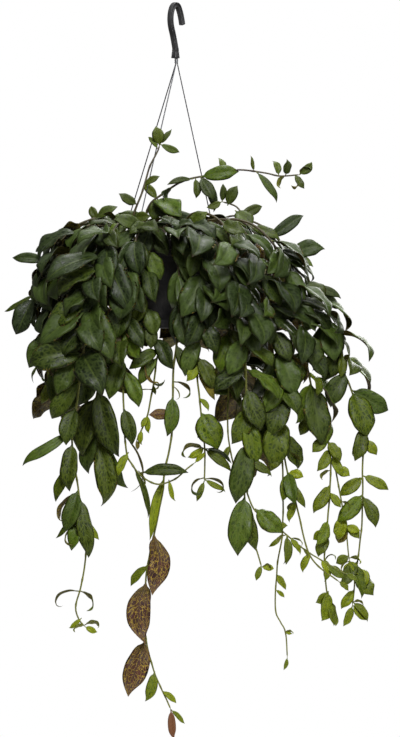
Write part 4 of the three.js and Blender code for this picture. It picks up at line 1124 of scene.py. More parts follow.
def joints_of(route):
    """Points at equal steps of about the joint spacing along a stem."""
    _, length = even_points(route, 4)
    return even_points(route, max(3, math.floor(length / JOINT_SPACING + 0.5)))[0]


def closest(lines, x, z):
    """The point on the lines that is nearest to x, z as seen from the front."""
    best = (1e9, None)
    for joints in lines:
        a, b = joints[:-1], joints[1:]
        d = b - a
        along = ((x - a[:, 0]) * d[:, 0] + (z - a[:, 2]) * d[:, 2]) / (d[:, 0] ** 2 + d[:, 2] ** 2)
        p = a + d * np.clip(along, 0, 1)[:, None]
        gap = np.hypot(p[:, 0] - x, p[:, 2] - z)
        i = int(gap.argmin())
        if gap[i] < best[0]:
            best = (gap[i], p[i])
    return best[1]


def shown_leaf(lines, row, random):
    """A leaf that shows at the front, from its row."""
    foot_x, foot_z, tip_x, tip_z, width, depth = row
    foot = closest(lines, foot_x, foot_z)
    return {
        "foot": foot, "chord": np.array([tip_x - foot[0], -depth, tip_z - foot[2]]),
        "width": width, "upper": np.array([0, -1, 0.35]) + 0.35 * outward(foot),
        "bend": 0.35 + 0.5 * next(random), "spread": np.array([0.1, 0.55, 0.1]),
        "random": random, "by_rule": False,
    }


def curled_leaf(lines, row):
    """A small leaf that rolls up, from its row: it leaves its foot at a heading from +X towards
    +Z, and turns ever faster, in all by its curl in radians, to the left where that is
    positive. The plane it rolls up in is tipped so that its face shows."""
    foot_x, foot_z, heading, length, width, curl = row
    heading = math.radians(heading)
    along = np.array([math.cos(heading), 0, math.sin(heading)])
    upper = np.array([math.sin(heading), 0, -math.cos(heading)]) * math.copysign(1, curl)
    upper = spun(upper, along, math.copysign(0.55, curl))
    return {
        "foot": closest(lines, foot_x, foot_z), "along": along, "upper": upper,
        "side": np.cross(upper, along), "width": width, "bend": abs(curl), "arc": length,
        "rolls": True, "by_rule": False,
    }


def leaves_of(stem, index, lines):
    """Every leaf that a stem is meant to have: those in its rows, then those in pairs."""
    found = [
        shown_leaf(lines, row, draws(1000 * index + i + 1)) for i, row in enumerate(stem["leaves"])
    ]
    if not stem["pairs"]:
        return found
    joints = lines[0]
    first, last = (share * (len(joints) - 1) for share in stem["pairs"])
    j = max(math.ceil(first), 2)
    while j <= last:
        along = unit(joints[min(j + 1, len(joints) - 1)] - joints[j - 1])
        out = outward(joints[j])
        across = unit(np.cross(along, out))
        across = spun(across, along, (0.4 if j % 4 else -0.4) + 0.5 * math.sin(7 * j + index))
        for side in (-1, 1):
            random = draws(1000 * index + 100 + 2 * j + (side + 1) // 2)
            length = RULE_LENGTH[0] + (RULE_LENGTH[1] - RULE_LENGTH[0]) * next(random)
            width = length * (RULE_WIDTH[0] + (RULE_WIDTH[1] - RULE_WIDTH[0]) * next(random))
            chord = across * side * (0.45 + 0.5 * next(random))
            chord = chord + along * (0.1 + 0.6 * next(random)) + out * 0.45 * next(random)
            chord = chord - UP * 0.55 * next(random)
            upper = out + UP * (0.5 + 0.5 * next(random))
            bend = 0.3 + 0.9 * next(random)
            found.append({
                "foot": joints[j], "chord": unit(chord) * length, "width": width, "upper": upper,
                "bend": bend, "spread": np.array([0.6, 0.6, 0.6]), "random": random,
                "by_rule": True,
            })
        j += 2
    return found


def moved(leaf, attempt):
    """A leaf moved from where it was meant to be, further the later the attempt."""
    random, reach = leaf["random"], attempt / (TRIES - 1)
    length = np.linalg.norm(leaf["chord"])
    shift = np.array([next(random) - 0.5 for _ in range(3)]) * leaf["spread"]
    chord = leaf["chord"] + shift * 2 * reach * length
    if leaf["by_rule"]:
        chord = unit(chord) * length * (1 - 0.35 * reach)
    along = unit(chord)
    roll = 1.8 * reach * (next(random) - 0.5)
    upper = unit(leaf["upper"] - along * leaf["upper"].dot(along))
    upper = spun(upper, along, roll)
    bend = leaf["bend"]
    return {
        "foot": leaf["foot"], "along": along, "upper": upper, "side": np.cross(upper, along),
        "width": leaf["width"] * (1 - 0.25 * reach), "bend": bend,
        "arc": np.linalg.norm(chord) * bend / (2 * math.sin(bend / 2)),
    }


def on_arc(leaf, share):
    """Points, normals and tangents of the leaf's midrib, an arc from foot to tip whose middle
    stands off the chord towards the upper side."""
    bend, arc = leaf["bend"], leaf["arc"]
    along, upper = leaf["along"], leaf["upper"]
    if "rolls" in leaf:
        fine = np.linspace(0, 1, ROLL_STEPS)
        slope = -bend * fine**ROLL_POWER
        run = np.cumsum(np.stack([np.cos(slope), np.sin(slope)]), 1) * arc / ROLL_STEPS
        run = np.stack([np.interp(share, fine, one - one[0]) for one in run], -1)
        slope = -bend * np.asarray(share, float)[..., None] ** ROLL_POWER
        point = leaf["foot"] + along * run[..., :1] + upper * run[..., 1:]
        normal = upper * np.cos(slope) - along * np.sin(slope)
        return point, normal, along * np.cos(slope) + upper * np.sin(slope)
    slope = bend / 2 - bend * np.asarray(share, float)[..., None]
    point = leaf["foot"] + along * arc * (math.sin(bend / 2) - np.sin(slope)) / bend
    point = point + upper * arc * (np.cos(slope) - math.cos(bend / 2)) / bend
    normal = upper * np.cos(slope) - along * np.sin(slope)
    return point, normal, along * np.cos(slope) + upper * np.sin(slope)


def solid_corners(leaf):
    """The tip and the two edge points of the last ring of the leaf's solid in the frame."""
    shares = (0.1, 0.36, 0.72) if leaf["arc"] > LEAF["long"] else (0.12, 0.5)
    widen = 1.1 if len(shares) == 2 else 1
    u = (shares[-1] - LEAF["stalk_share"]) / (1 - LEAF["stalk_share"])
    half = widen * leaf["width"] * 1.4 * u**0.62 * (1 - u) ** 0.9
    point, normal, _ = on_arc(leaf, [shares[-1], 1.0])
    lift = LEAF["fold"] * half * normal[0]
    return [point[1], point[0] + half * leaf["side"] + lift, point[0] - half * leaf["side"] + lift]


def found_leaves(stem, index, lines):
    """The stem's leaves as the frame's solid has them: for each leaf the first attempt whose
    corners are corners of the solid. A leaf with none was left out of the solid."""
    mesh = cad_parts[stem["name"]].data
    places = np.empty(3 * len(mesh.vertices))
    mesh.vertices.foreach_get("co", places)
    tree = kdtree.KDTree(len(mesh.vertices))
    for i, place in enumerate(places.reshape(-1, 3) * 1000):
        tree.insert(place, i)
    tree.balance()
    found = []
    for number, leaf in enumerate(leaves_of(stem, index, lines)):
        for attempt in range(TRIES):
            pose = moved(leaf, attempt)
            if all(tree.find(corner)[2] < 0.05 for corner in solid_corners(pose)):
                found.append({**pose, "number": number, "by_rule": leaf["by_rule"]})
                break
    return found


def is_free(points):
    """Which points are off the pot and the soil, out of the gap at the front, under the crown's
    dome and out of the open middle below it."""
    radius = np.hypot(points[:, 0] - POT_X, points[:, 1])
    x, y, z = points.T
    low, high = POT["base"] + POT["foot_height"], RIM["top"] - RIM["band"]
    wall_out = np.interp(z, [low, high], [POT["base_radius"], POT["neck_radius"]])
    wall_out = np.where(z > high, RIM["radius"], wall_out)
    outside = (z > RIM["top"] + 3) | (radius > wall_out + 4) | (z < POT["base"] - 2)
    in_gap = (y < 0) & (x > -40) & (x < -2) & (z > -520) & (z < -400)
    in_dome = (z < CROWN["top"] - CROWN["slope"] * radius) & (x > CROWN["left"])
    is_open = (z < CROWN["open_below"]) & (np.abs(x) < CROWN["open_half"])
    return outside & ~in_gap & in_dome & ~is_open


def sampled(leaf):
    """Points on a leaf's midrib and on both edges."""
    shares = np.array([0.2, 0.36, 0.52, 0.68, 0.84, 1.0])
    point, normal, _ = on_arc(leaf, shares)
    u = (shares - 0.1) / 0.9
    half = (1.4 * u**0.62 * (1 - u) ** 0.9 * leaf["width"])[:, None]
    lift = (LEAF["fold"] * half * normal)[:-1]
    side = (half * leaf["side"])[:-1]
    return np.vstack([point, point[:-1] + side + lift, point[:-1] - side + lift])


def filler(foot, along, side, number, attempt):
    """A crown leaf. Above the rim it stands up and out and droops, or at the front now and then
    hangs over the rim; below the rim it hangs outwards."""
    random = draws(number * 40 + attempt)
    for _ in range(2):
        next(random)
    out = outward(foot)
    across = unit(np.cross(along, out) + 1e-3 * UP)
    length = (50 + 40 * next(random)) * (1 - 0.012 * attempt)
    width = length * (0.44 + 0.14 * next(random))
    hangs = foot[2] < RIM["top"] + 4 or (foot[1] < -30 and attempt % 2)
    if hangs:
        chord = -UP * (0.35 + 0.7 * next(random)) + out * (0.1 + 0.75 * next(random))
        chord = chord + across * side * (0.1 + 0.75 * next(random))
        upper = out + UP * (0.3 + 0.7 * next(random))
    else:
        chord = out * (0.1 + 0.9 * next(random)) + UP * (0.75 * next(random) - 0.1)
        chord = chord + across * side * (0.15 + 0.85 * next(random))
        upper = UP + out * (0.2 + 0.6 * next(random))
    bend = 0.7 + 0.9 * next(random)
    chord = unit(chord) * length
    axis = unit(chord)
    upper = unit(upper - axis * upper.dot(axis))
    return {
        "foot": foot, "along": axis, "upper": upper, "side": np.cross(upper, axis), "width": width,
        "bend": bend, "arc": length * bend / (2 * math.sin(bend / 2)), "by_rule": True,
    }


def clears(dots, foot, others, leaf_gap):
    """Whether a leaf's dots keep clear of the leaves before it and of the other stems."""
    near = np.vstack(taken)
    near = near[np.abs(near - foot).max(1) < 130]
    if len(near) and np.linalg.norm(dots[:, None] - near[None], axis=2).min() < leaf_gap:
        return False
    close = others[np.abs(others - foot).max(1) < 110]
    return not len(close) or np.linalg.norm(dots[:, None] - close[None], axis=2).min() >= STEM_GAP


stem_lines = [[joints_of(route) for route in stem["routes"]] for stem in stems]
stem_leaves = [found_leaves(stem, i, stem_lines[i]) for i, stem in enumerate(stems)]
taken = [sampled(leaf) for leaves in stem_leaves for leaf in leaves]
stem_dots = [even_points(stem["routes"][0], 90)[0] for stem in stems]
owners = np.repeat(np.arange(len(stems)), 91)
stem_dots = np.vstack(stem_dots)
wire_dots = np.vstack(wire_dots)

# Sprouts and curled leaves are added where their rows say. A broad sprout takes the first of
# its attempts that clears the leaves before it.
for index, stem in enumerate(stems):
    others = stem_dots[owners != index]
    for k, row in enumerate(stem.get("sprouts", ())):
        wanted = shown_leaf(stem_lines[index], row, draws(7 + 31 * k))
        for attempt in range(TRIES if row[4] >= BROAD else 1):
            leaf = moved(wanted, attempt)
            if row[4] < BROAD or clears(sampled(leaf), leaf["foot"], others, LEAF_GAP - 1):
                break
        taken.append(sampled(leaf))
        stem_leaves[index].append({**leaf, "number": SPROUT_NUMBER + k, "by_rule": False})
    for k, row in enumerate(stem.get("curls", ())):
        leaf = curled_leaf(stem_lines[index], row)
        stem_leaves[index].append({**leaf, "number": CURL_NUMBER + k})

# The crown is filled at the joints that carry no leaf in the solids, more closely at the front.
# Joints inside the pot stay bare, and the leaves clear the wires.
for index, stem in enumerate(stems):
    joints = even_points(stem["routes"][0], 2 * (len(stem_lines[index][0]) - 1))[0]
    feet = np.array([leaf["foot"] for leaf in stem_leaves[index]] or [(0, 0, 0)])
    others = stem_dots[owners != index]
    for j in range(1, len(joints)):
        foot = joints[j]
        at_front = foot[2] > CREST_BOTTOM and foot[1] < 40
        if foot[2] < CROWN_BOTTOM or (j % 2 and not at_front):
            continue
        in_pot = math.hypot(foot[0] - POT_X, foot[1]) < RIM["radius"]
        if in_pot and POT["base"] < foot[2] < RIM["top"] + 3:
            continue
        if not at_front and np.linalg.norm(feet - foot, axis=1).min() < 9:
            continue
        along = unit(joints[min(j + 1, len(joints) - 1)] - joints[j - 1])
        for side in (-1, 1, 0) if at_front else (-1, 1):
            number = FILL_NUMBER + 100 * index + 3 * j + side + 1
            for attempt in range(FILL_TRIES):
                leaf = filler(foot, along, side, number, attempt)
                dots = sampled(leaf)
                off_wires = np.linalg.norm(dots[:, None] - wire_dots[None], axis=2).min() > WIRE_GAP
                if off_wires and is_free(dots).all() and clears(dots, foot, others, LEAF_GAP):
                    taken.append(dots)
                    stem_leaves[index].append({**leaf, "number": number})
                    break


# ---------------------------------------------------------------- their materials
# The marbling of a leaf in its own coordinates, u across from 0 to 1 and v along from foot to
# tip: side veins that leave the midrib and run forward, a net of cells stretched along them,
# and the mask of the midrib and of the thin edge.
MASKS = ("Net", "Vein", "Midrib", "Edge", "Cell", "Cloud")
marbling, given, result = new_group(
    "leaf_marbling",
    {"Cells along": 15.0, "Cells across": 5.0, "Forward": 0.28, "Line": 0.1},
    MASKS,
)
place = marbling.object_place()
uv = marbling.node("UVMap").outputs[0]
split = marbling.node("SeparateXYZ")
marbling.put(uv, split.inputs[0])
wander = marbling.noise(place, 170.0, 2.0)
x = marbling.math("MULTIPLY_ADD", split.outputs[0], 2.0, -1.0)
far = marbling.math("ABSOLUTE", x)
strayed = marbling.math("SUBTRACT", wander, 0.5)
wandered = marbling.math("MULTIPLY_ADD", strayed, 0.12, split.outputs[1])
forward = marbling.times(far, marbling.times(given.outputs["Forward"], 0.5))
chevron = marbling.math("SUBTRACT", wandered, forward)
leaf_seed = marbling.attribute("leaf_seed")
spot = marbling.node("CombineXYZ")
marbling.put(marbling.times(x, given.outputs["Cells across"]), spot.inputs[0])
marbling.put(marbling.times(chevron, given.outputs["Cells along"]), spot.inputs[1])
marbling.put(marbling.times(leaf_seed, 97.0), spot.inputs[2])
net = marbling.node("TexVoronoi", feature="DISTANCE_TO_EDGE")
marbling.put(spot.outputs[0], net.inputs["Vector"])
net.inputs["Scale"].default_value = 1.0
cells = marbling.node("TexVoronoi")
marbling.put(spot.outputs[0], cells.inputs["Vector"])
cells.inputs["Scale"].default_value = 1.0
shade = marbling.node("SeparateColor")
marbling.put(cells.outputs["Color"], shade.inputs[0])
line = given.outputs["Line"]
wide, narrow = marbling.times(line, 2.2), marbling.times(line, 0.5)
net_mask = marbling.ramp(net.outputs["Distance"], wide, narrow)
rows_along = marbling.times(chevron, given.outputs["Cells along"])
wave = marbling.math("COSINE", marbling.times(rows_along, 3.14159))
vein_mask = marbling.ramp(wave, 0.93, 0.998)
midrib_mask = marbling.ramp(far, 0.075, 0.02)
edge_mask = marbling.ramp(far, 0.93, 0.985)
cloud = marbling.noise(place, 60.0, 3.0)
masks = (net_mask, vein_mask, midrib_mask, edge_mask, shade.outputs[0], cloud)
for key, value in zip(MASKS, masks):
    marbling.put(value, result.inputs[key])
marbling_group = marbling.tree

# Upper side: waxy dark green, each leaf its own shade, young ones yellower.
# Painted light: the lower leaves are made more vivid and younger, with stronger marbling, for the
# light that shines through them.
leaf_upper, shader, principled = new_material("leaf_upper")
cells = {"Cells along": 13.0, "Cells across": 3.6, "Line": 0.11}
effect = use_group(shader, marbling_group, **cells)
net, vein, midrib, edge, cell, cloud = (effect.outputs[key] for key in MASKS)
tone = shader.attribute("leaf_tone")
tone = shader.math("POWER", tone, 2.2)
young_and_backlit = shader.attribute("leaf_young_and_backlit")
brown = shader.attribute("leaf_brown")
# leaf_vivid_and_backlit: partly a leaf's own fresher green, partly painted light shining through
# the lower leaves.
vivid_and_backlit = shader.attribute("leaf_vivid_and_backlit")
dull_green = shader.mix(tone, linear((12, 22, 4)), linear((70, 88, 34)))
backlit_vivid_green = shader.mix(tone, linear((14, 29, 1)), linear((72, 104, 6)))
ground = shader.mix(vivid_and_backlit, dull_green, backlit_vivid_green)
ground = shader.mix(young_and_backlit, ground, linear((118, 130, 2)))
blotch = shader.mix(vivid_and_backlit, linear((12, 22, 4)), linear((10, 22, 1)))
blotch = shader.mix(young_and_backlit, blotch, linear((56, 74, 1)))
cell_share = shader.math("MULTIPLY_ADD", vivid_and_backlit, 0.15, 0.62)
cell_share = shader.times(cell, cell_share)
ground = shader.mix(cell_share, ground, blotch)
cloudy = shader.ramp(cloud, 0.35, 0.7, 0.0, 0.2)
ground = shader.mix(cloudy, ground, shader.mix(vivid_and_backlit, linear((54, 68, 30)), linear((68, 88, 4))))
pale = shader.mix(vivid_and_backlit, linear((70, 86, 44)), linear((108, 122, 10)))
pale = shader.mix(young_and_backlit, pale, linear((172, 180, 20)))
net_share = shader.math("MULTIPLY_ADD", vivid_and_backlit, 0.12, 0.24)
net_share = shader.times(net, net_share)
ground = shader.mix(net_share, ground, pale)
vein_share = shader.times(vein, 0.2)
ground = shader.mix(vein_share, ground, pale)
rib_share = shader.times(midrib, 0.45)
ground = shader.mix(rib_share, ground, linear((74, 88, 30)))
edge_share = shader.times(edge, 0.45)
ground = shader.mix(edge_share, ground, linear((80, 80, 36)))
ground = shader.mix(brown, ground, linear((104, 66, 40)))
tip_uv = shader.node("SeparateXYZ")
shader.put(shader.node("UVMap").outputs[0], tip_uv.inputs[0])
tip_share = shader.ramp(tip_uv.outputs[1], 0.93, 0.985, 0.0, 0.75)
ground = shader.mix(tip_share, ground, linear((40, 24, 14)))
shader.put(ground, principled.inputs["Base Color"])
rough = shader.ramp(cloud, 0.3, 0.7, 0.36, 0.5)
rough = shader.math("MULTIPLY_ADD", net, 0.08, rough)
shader.put(rough, principled.inputs["Roughness"])
height = shader.times(cell, 0.25)
height = shader.math("SUBTRACT", height, shader.times(vein, 0.8))
height = shader.math("SUBTRACT", height, shader.times(net, 0.35))
shader.put(shader.bump(height, 0.45, 0.0006), principled.inputs["Normal"])
principled.inputs["Specular IOR Level"].default_value = 0.22

# Underside: yellow green between maroon blotches, duller than above, the midrib raised.
leaf_under, shader, principled = new_material("leaf_under")
cells = {"Cells along": 16.0, "Cells across": 3.2, "Line": 0.034}
effect = use_group(shader, marbling_group, **cells)
net, vein, midrib, edge, cell, cloud = (effect.outputs[key] for key in MASKS)
young_and_backlit = shader.attribute("leaf_young_and_backlit")
# leaf_maroon_and_lit: the underside's own maroon and yellow net, and also painted light: in full
# for the lit turned leaves, a darker olive for the rest, partly painted shade.
maroon_and_lit = shader.attribute("leaf_maroon_and_lit")
net_colour = shader.mix(maroon_and_lit, linear((66, 78, 14)), linear((146, 122, 40)))
cell_dark = shader.mix(cell, linear((44, 16, 17)), linear((74, 34, 26)))
cell_colour = shader.mix(maroon_and_lit, linear((42, 52, 12)), cell_dark)
ground = shader.mix(net, cell_colour, net_colour)
ground = shader.mix(young_and_backlit, ground, linear((110, 118, 34)))
cloudy = shader.ramp(cloud, 0.4, 0.7, 0.0, 0.24)
ground = shader.mix(cloudy, ground, linear((80, 66, 22)))
foot_uv = shader.node("SeparateXYZ")
shader.put(shader.node("UVMap").outputs[0], foot_uv.inputs[0])
foot_share = shader.ramp(foot_uv.outputs[1], 0.42, 0.1, 0.0, 0.35)
ground = shader.mix(foot_share, ground, linear((78, 76, 20)))
rib_share = shader.times(midrib, 0.8)
ground = shader.mix(rib_share, ground, linear((54, 34, 20)))
shader.put(ground, principled.inputs["Base Color"])
rough = shader.ramp(cloud, 0.3, 0.7, 0.5, 0.64)
shader.put(rough, principled.inputs["Roughness"])
height = shader.times(vein, 0.6)
height = shader.math("ADD", height, shader.times(net, 0.5))
shader.put(shader.bump(height, 0.4, 0.0005), principled.inputs["Normal"])
principled.inputs["Specular IOR Level"].default_value = 0.35

# Stem: green brown bark with long streaks, darker and redder near the soil.
stem_bark, shader, principled = new_material("stem_bark")
place = shader.object_place()
stretch = shader.node("Mapping")
shader.put(place, stretch.inputs["Vector"])
stretch.inputs["Scale"].default_value = (1, 1, 0.16)
streak = shader.noise(stretch.outputs[0], 1100.0, 3.0, 0.6)
patch = shader.noise(place, 90.0, 3.0)
wood = shader.attribute("leaf_brown")
green = shader.mix(shader.ramp(streak, 0.35, 0.7), linear((80, 88, 26)), linear((124, 124, 42)))
woody = shader.mix(shader.ramp(streak, 0.35, 0.7), linear((30, 20, 11)), linear((62, 45, 23)))
share = shader.math("ADD", wood, shader.ramp(patch, 0.5, 0.7, 0.0, 0.3), clamp=True)
shader.put(shader.mix(share, green, woody), principled.inputs["Base Color"])
shader.put(shader.ramp(streak, 0.3, 0.7, 0.68, 0.5), principled.inputs["Roughness"])
shader.put(shader.bump(streak, 0.4, 0.0004), principled.inputs["Normal"])

# ---------------------------------------------------------------- their surfaces
LEAF_ROWS, LEAF_COLUMNS = 21, 9
HALF_THICKNESS = 0.42
STEM_SIDES = 8
rows = np.linspace(0, 1, LEAF_ROWS)
columns = np.linspace(-1, 1, LEAF_COLUMNS)
BARK_TO_GREEN = 620.0
BARK_SLOT = 2
ATTRIBUTES = ("leaf_tone", "leaf_young_and_backlit", "leaf_brown", "leaf_maroon_and_lit", "leaf_seed", "leaf_vivid_and_backlit")


def half_width(share):
    """Half the width of a leaf of width 1: a rising power times a falling one, so it is widest
    at about two fifths and draws out to a narrow tip."""
    u = np.clip((share - 0.09) / 0.91, 0, 1)
    drawn = np.clip((u - 0.66) / 0.34, 0, 1)
    return 1.25 * u**0.56 * (1 - u) ** 0.62 * (1 - 0.72 * drawn**1.6)


def leaf_surface(leaf, look):
    """A leaf as a closed shell: on the arc of its midrib stands a section that is round at the
    stalk and flat at the blade. The blade's height over the section is a fold up along the
    midrib, waves that grow towards the edge and a curl of the tip; its two faces lie half the
    thickness above and below and meet at the edge."""
    random = draws(look["seed"])
    wave_count, wave_phase = 1.6 + 1.4 * next(random), 6.28 * next(random)
    wave_high, twist = 0.06 + 0.12 * next(random), 1.7 * (next(random) - 0.5)
    bow, curl = 0.12 * (next(random) - 0.5), 0.5 + 0.8 * next(random)
    bow = look.get("bow", bow)
    recurve, hook = 0.7 + 1.1 * next(random), 2.2 * (next(random) - 0.5)
    turned_over = -1 if look["turned"] else 1
    s = rows[:, None]
    c = columns[None, :]
    width, arc = leaf["width"] * look["widen"], leaf["arc"]
    stalk = min(1.15, 0.012 * arc + 0.5)
    blade = half_width(rows)
    half = np.maximum(blade * width, stalk * np.clip(1 - (rows - 0.05) / 0.13, 0.0, 1))
    half = np.maximum(half, 0.12)[:, None]
    is_blade = np.clip((s - 0.07) / 0.08, 0, 1)
    point, normal, _ = on_arc(leaf, rows)
    normal = normal * turned_over
    side = np.broadcast_to(leaf["side"] * turned_over, normal.shape)
    bowed = bow * arc * (rows * (1 - rows) * 4)[:, None]
    hooked = hook * arc * (np.clip(rows - 0.78, 0, 1) ** 2)[:, None] * 1.4
    point = point + side * (bowed * np.clip(rows * 3, 0, 1)[:, None] + hooked)
    angle = (twist * (rows - 0.35) * np.clip(rows / 0.3, 0, 1))[:, None]
    across = side * np.cos(angle) + normal * np.sin(angle)
    up = normal * np.cos(angle) - side * np.sin(angle)
    reach = half * c
    fold = LEAF["fold"] * np.abs(reach) * (2.7 - 1.5 * recurve * np.abs(c) ** 1.5)
    wave = wave_high * half * c**2 * np.sin(6.28 * wave_count * s + wave_phase + 2.2 * np.sign(c))
    tip = -curl * arc * np.clip(s - 0.74, 0, 1) ** 2 * 1.5
    height = is_blade * (fold + wave) + tip
    dome = np.sqrt(np.clip(1 - c**2, 0, 1))
    thick = HALF_THICKNESS * is_blade + stalk * (1 - is_blade)
    thick = np.minimum(thick, half * 0.9)
    rib = 0.55 * np.exp(-((reach / 0.9) ** 2)) * (1 - s) * is_blade
    groove = 0.3 * np.exp(-((reach / 1.1) ** 2)) * (1 - s) * is_blade
    base = point[:, None] + across[:, None] * reach[..., None]
    above = base + up[:, None] * (height + thick * dome - groove)[..., None]
    under = base + up[:, None] * (height - thick * dome - rib)[..., None]
    under = under[:, 1:-1][:, ::-1]
    points = np.concatenate([above, under], 1)
    around = points.shape[1]
    faces = grid_faces(LEAF_ROWS, around, True)
    in_upper = (np.arange(around) < LEAF_COLUMNS - 1)[None, :]
    slots = np.where(np.broadcast_to(in_upper, (LEAF_ROWS - 1, around)), 0, 1)
    slots = np.where((np.arange(LEAF_ROWS - 1) < 1)[:, None], 2, slots)
    u = np.concatenate([(columns + 1) / 2, (columns[1:-1][::-1] + 1) / 2])
    uv = np.stack(np.broadcast_arrays(u[None, :], s), -1).reshape(-1, 2)
    return points.reshape(-1, 3), faces, slots.reshape(-1), uv


def stem_surface(route, thick_start, thick_end, seed):
    """A round stem along its route: it thins towards its end and swells at each joint."""
    _, length = even_points(route, 4)
    steps = max(12, int(length / 5))
    path, _ = even_points(route, steps)
    share = np.linspace(0, 1, steps + 1)
    run = share * length
    joints = max(3, math.floor(length / JOINT_SPACING + 0.5))
    gap = (share * joints + 0.5) % 1 - 0.5
    swell = 1 + 0.32 * np.exp(-((gap * JOINT_SPACING / 2.6) ** 2))
    wobble = 0.22 * np.sin(run / 9.0 + seed)[:, None] * np.array([1, 0.6, 0])
    wobble = wobble + 0.2 * np.sin(run / 5.3 + 2 * seed)[:, None] * np.array([0.4, 1, 0])
    path = path + wobble * np.clip(share * 6, 0, 1)[:, None]
    radius = (thick_start + (thick_end - thick_start) * share) * swell
    radius = radius * np.sqrt(np.clip((1 - share) * length / 2.2, 0.02, 1))
    turn = np.linspace(0, 2 * math.pi, STEM_SIDES, endpoint=False)
    circle = np.stack([np.cos(turn), np.sin(turn)], -1)
    points, faces = carried(path, radius[:, None, None] * circle, (0.3, 1, 0.2))
    u = np.arange(STEM_SIDES)[None, :] / STEM_SIDES
    uv = np.stack(np.broadcast_arrays(u, run[:, None] / JOINT_SPACING), -1)
    points, faces = capped(points, faces, len(path), STEM_SIDES)
    uv = np.vstack([uv.reshape(-1, 2), [(0, 0), (0, run[-1] / JOINT_SPACING)]])
    return points, faces, uv


def attribute(mesh, name, values):
    """One number for each point of a mesh, which its materials read by name."""
    layer = mesh.attributes.new(name, "FLOAT", "POINT")
    layer.data.foreach_set("value", np.asarray(values, np.float32))


def leaf_look(stem, leaf, seed, turned_over):
    """A leaf's tone, youth, brown, maroon, seed and vividness, each from 0 to 1. Small leaves are
    young. Leaves far below the crown are made more vivid and younger, which is painted light
    shining through them. The maroon is partly painted light: full for turned leaves, less for the
    rest."""
    random = draws(seed * 7 + 3)
    for _ in range(3):
        next(random)
    tone, chance, shade = next(random), next(random), next(random)
    own = (seed * 0.618) % 1
    if leaf["number"] in stem.get("fresh", ()):
        return (1.0, 0.75, 0.0, 0.0, own, 0.5)
    if leaf["number"] in stem.get("faded", ()):
        return (1.0, 0.0, 1.0, 1.0, own, 0.0)
    if leaf["number"] in stem.get("ochre", ()):
        return (0.8, 0.75, 0.5, 0.7, own, 0.4)
    # Turned leaves get the full maroon and bright net of a lit underside, which is painted light;
    # the others get a darker olive, partly painted shade.
    if turned_over:
        return (tone, 0.0, 0.0, 1.0, own, 0.0)
    # Painted light: the lower a leaf hangs, the more vivid and young it is made, for the light that
    # shines through the lower leaves.
    low = np.clip((-470 - leaf["foot"][2]) / 190, 0, 1)
    vivid_and_backlit = min(low * (0.5 + 0.5 * shade) + (0.75 * shade if chance < 0.26 else 0), 1)
    young_and_backlit = np.clip((64 - leaf["arc"]) / 34, 0, 1) * (0.35 + 0.6 * shade) * (0.25 + 0.75 * low)
    young_and_backlit = young_and_backlit + 0.12 * low * shade
    vivid_and_backlit = vivid_and_backlit * (1 - 0.35 * np.clip((leaf["arc"] - 70) / 30, 0, 1))
    return (tone, min(young_and_backlit, 1), 0.0, 0.25 + 0.5 * shade, own, vivid_and_backlit)


def stem_piece(stem, index):
    """One stem with its branches, leaves and sprouts as one mesh of three materials."""
    lines = stem_lines[index]
    parts, slots, uvs, values = [], [], [], []
    for i, route in enumerate(stem["routes"]):
        thick = (2.1, 1.25) if i == 0 else (1.5, 1.1)
        part, part_faces, uv = stem_surface(route, *thick, index + 0.7 * i)
        woody = np.clip((part[:, 2] + BARK_TO_GREEN) / 170, 0.0, 0.85)
        parts.append((part, part_faces))
        slots.append(np.full(len(part_faces), BARK_SLOT))
        uvs.append(uv)
        values.append(woody[:, None] * (np.array(ATTRIBUTES) == "leaf_brown"))
    for leaf in stem_leaves[index]:
        seed = 5000 + 131 * index + leaf["number"]
        turned_over = leaf["number"] in stem.get("turned", ())
        look = leaf_look(stem, leaf, seed, turned_over)
        shape = {"seed": seed, "turned": turned_over, "widen": 0.9 if leaf["arc"] < 62 else 1.0}
        if leaf["number"] in stem.get("bows", ()):
            shape["bow"] = stem["bows"][leaf["number"]]
        part, part_faces, part_slots, uv = leaf_surface(leaf, shape)
        parts.append((part, part_faces))
        slots.append(part_slots)
        uvs.append(uv)
        values.append(np.tile(look, (len(part), 1)))
    piece = add_piece(
        stem["name"] + "_leafy", *joined(parts), [leaf_upper, leaf_under, stem_bark],
        [stem["name"]], "foliage", tidy=False,
    )
    mesh = piece.data
    mesh.polygons.foreach_set("material_index", np.concatenate(slots).astype(np.int32))
    corner_points = np.empty(len(mesh.loops), np.int32)
    mesh.loops.foreach_get("vertex_index", corner_points)
    layer = mesh.uv_layers.new(name="UVMap")
    layer.data.foreach_set("uv", np.vstack(uvs)[corner_points].astype(np.float32).reshape(-1))
    for name, column in zip(ATTRIBUTES, np.vstack(values).T):
        attribute(mesh, name, column)
    mesh.update()


for index, stem in enumerate(stems):
    stem_piece(stem, index)

# ================================================================ stage, light and camera
# A small pale floor below the plant, a white surround, and large soft lights.
FLOOR = {"radius": 0.7, "height": -1.3, "sides": 96}
turn = np.linspace(0, 2 * math.pi, FLOOR["sides"], endpoint=False)
disc = FLOOR["radius"] * np.column_stack([np.cos(turn), np.sin(turn), 0 * turn])
disc[:, 2] = FLOOR["height"]
floor_mesh = bpy.data.meshes.new("floor")
floor_mesh.from_pydata(disc.tolist(), [], [list(range(FLOOR["sides"]))])
floor = bpy.data.objects.new("floor", floor_mesh)
bpy.context.scene.collection.objects.link(floor)
floor_paint, shader, principled = new_material("floor_paint")
cloud = shader.noise(shader.object_place(), 6.0, 2.0)
paint = shader.mix(cloud, linear((232, 231, 228)), linear((242, 241, 239)))
shader.put(paint, principled.inputs["Base Color"])
principled.inputs["Roughness"].default_value = 0.8
floor_mesh.materials.append(floor_paint)

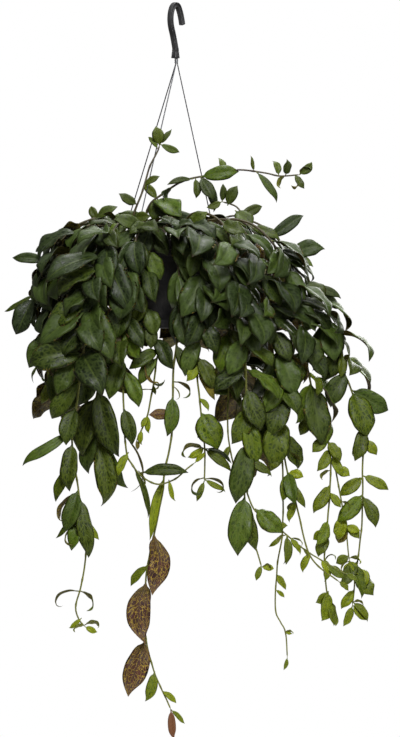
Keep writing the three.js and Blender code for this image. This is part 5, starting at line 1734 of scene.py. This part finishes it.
world = bpy.data.worlds.new("surround")
world.use_nodes = True
bpy.context.scene.world = world
tree = world.node_tree
tree.nodes.clear()
seen = tree.nodes.new("ShaderNodeBackground")
seen.inputs["Color"].default_value = (1, 1, 1, 1)
seen.inputs["Strength"].default_value = 1.0
soft = tree.nodes.new("ShaderNodeBackground")
soft.inputs["Color"].default_value = (1, 0.98, 0.9, 1)
soft.inputs["Strength"].default_value = 0.2
path_node = tree.nodes.new("ShaderNodeLightPath")
both = tree.nodes.new("ShaderNodeMixShader")
out = tree.nodes.new("ShaderNodeOutputWorld")
tree.links.new(path_node.outputs["Is Camera Ray"], both.inputs[0])
tree.links.new(soft.outputs[0], both.inputs[1])
tree.links.new(seen.outputs[0], both.inputs[2])
tree.links.new(both.outputs[0], out.inputs["Surface"])


def area_light(name, place, aim, size, power):
    """A square soft light at a place, turned to face a point."""
    light = bpy.data.lights.new(name, "AREA")
    light.shape, light.size, light.energy = "SQUARE", size, power
    lamp = bpy.data.objects.new(name, light)
    bpy.context.scene.collection.objects.link(lamp)
    lamp.location = place
    lamp.rotation_euler = (Vector(aim) - Vector(place)).to_track_quat("-Z", "Y").to_euler()


area_light("key", (0.1, -2.6, 1.7), (0, 0, -0.5), 1.2, 124)
area_light("fill", (2.4, -2.2, -0.2), (0, 0, -0.6), 2.0, 28)
area_light("top", (0.3, 0.6, 1.8), (0, 0, -0.5), 1.2, 60)
area_light("back", (1.4, 2.6, 0.7), (0, 0, -0.6), 2.0, 90)

scene = bpy.context.scene
scene.view_settings.view_transform = "Standard"
CAMERA = {"x": 0.0392, "z": -0.5784, "distance": 16.0, "sensor": 36.0, "view_height": 1.1792}
camera = bpy.data.cameras.new("camera")
camera.sensor_width = CAMERA["sensor"]
camera.lens = CAMERA["sensor"] * CAMERA["distance"] / CAMERA["view_height"]
camera.clip_end = 100
eye = bpy.data.objects.new("camera", camera)
bpy.context.scene.collection.objects.link(eye)
eye.location = (CAMERA["x"], -CAMERA["distance"], CAMERA["z"])
eye.rotation_euler = (math.pi / 2, 0, 0)
scene.camera = eye

bpy.context.view_layer.update()
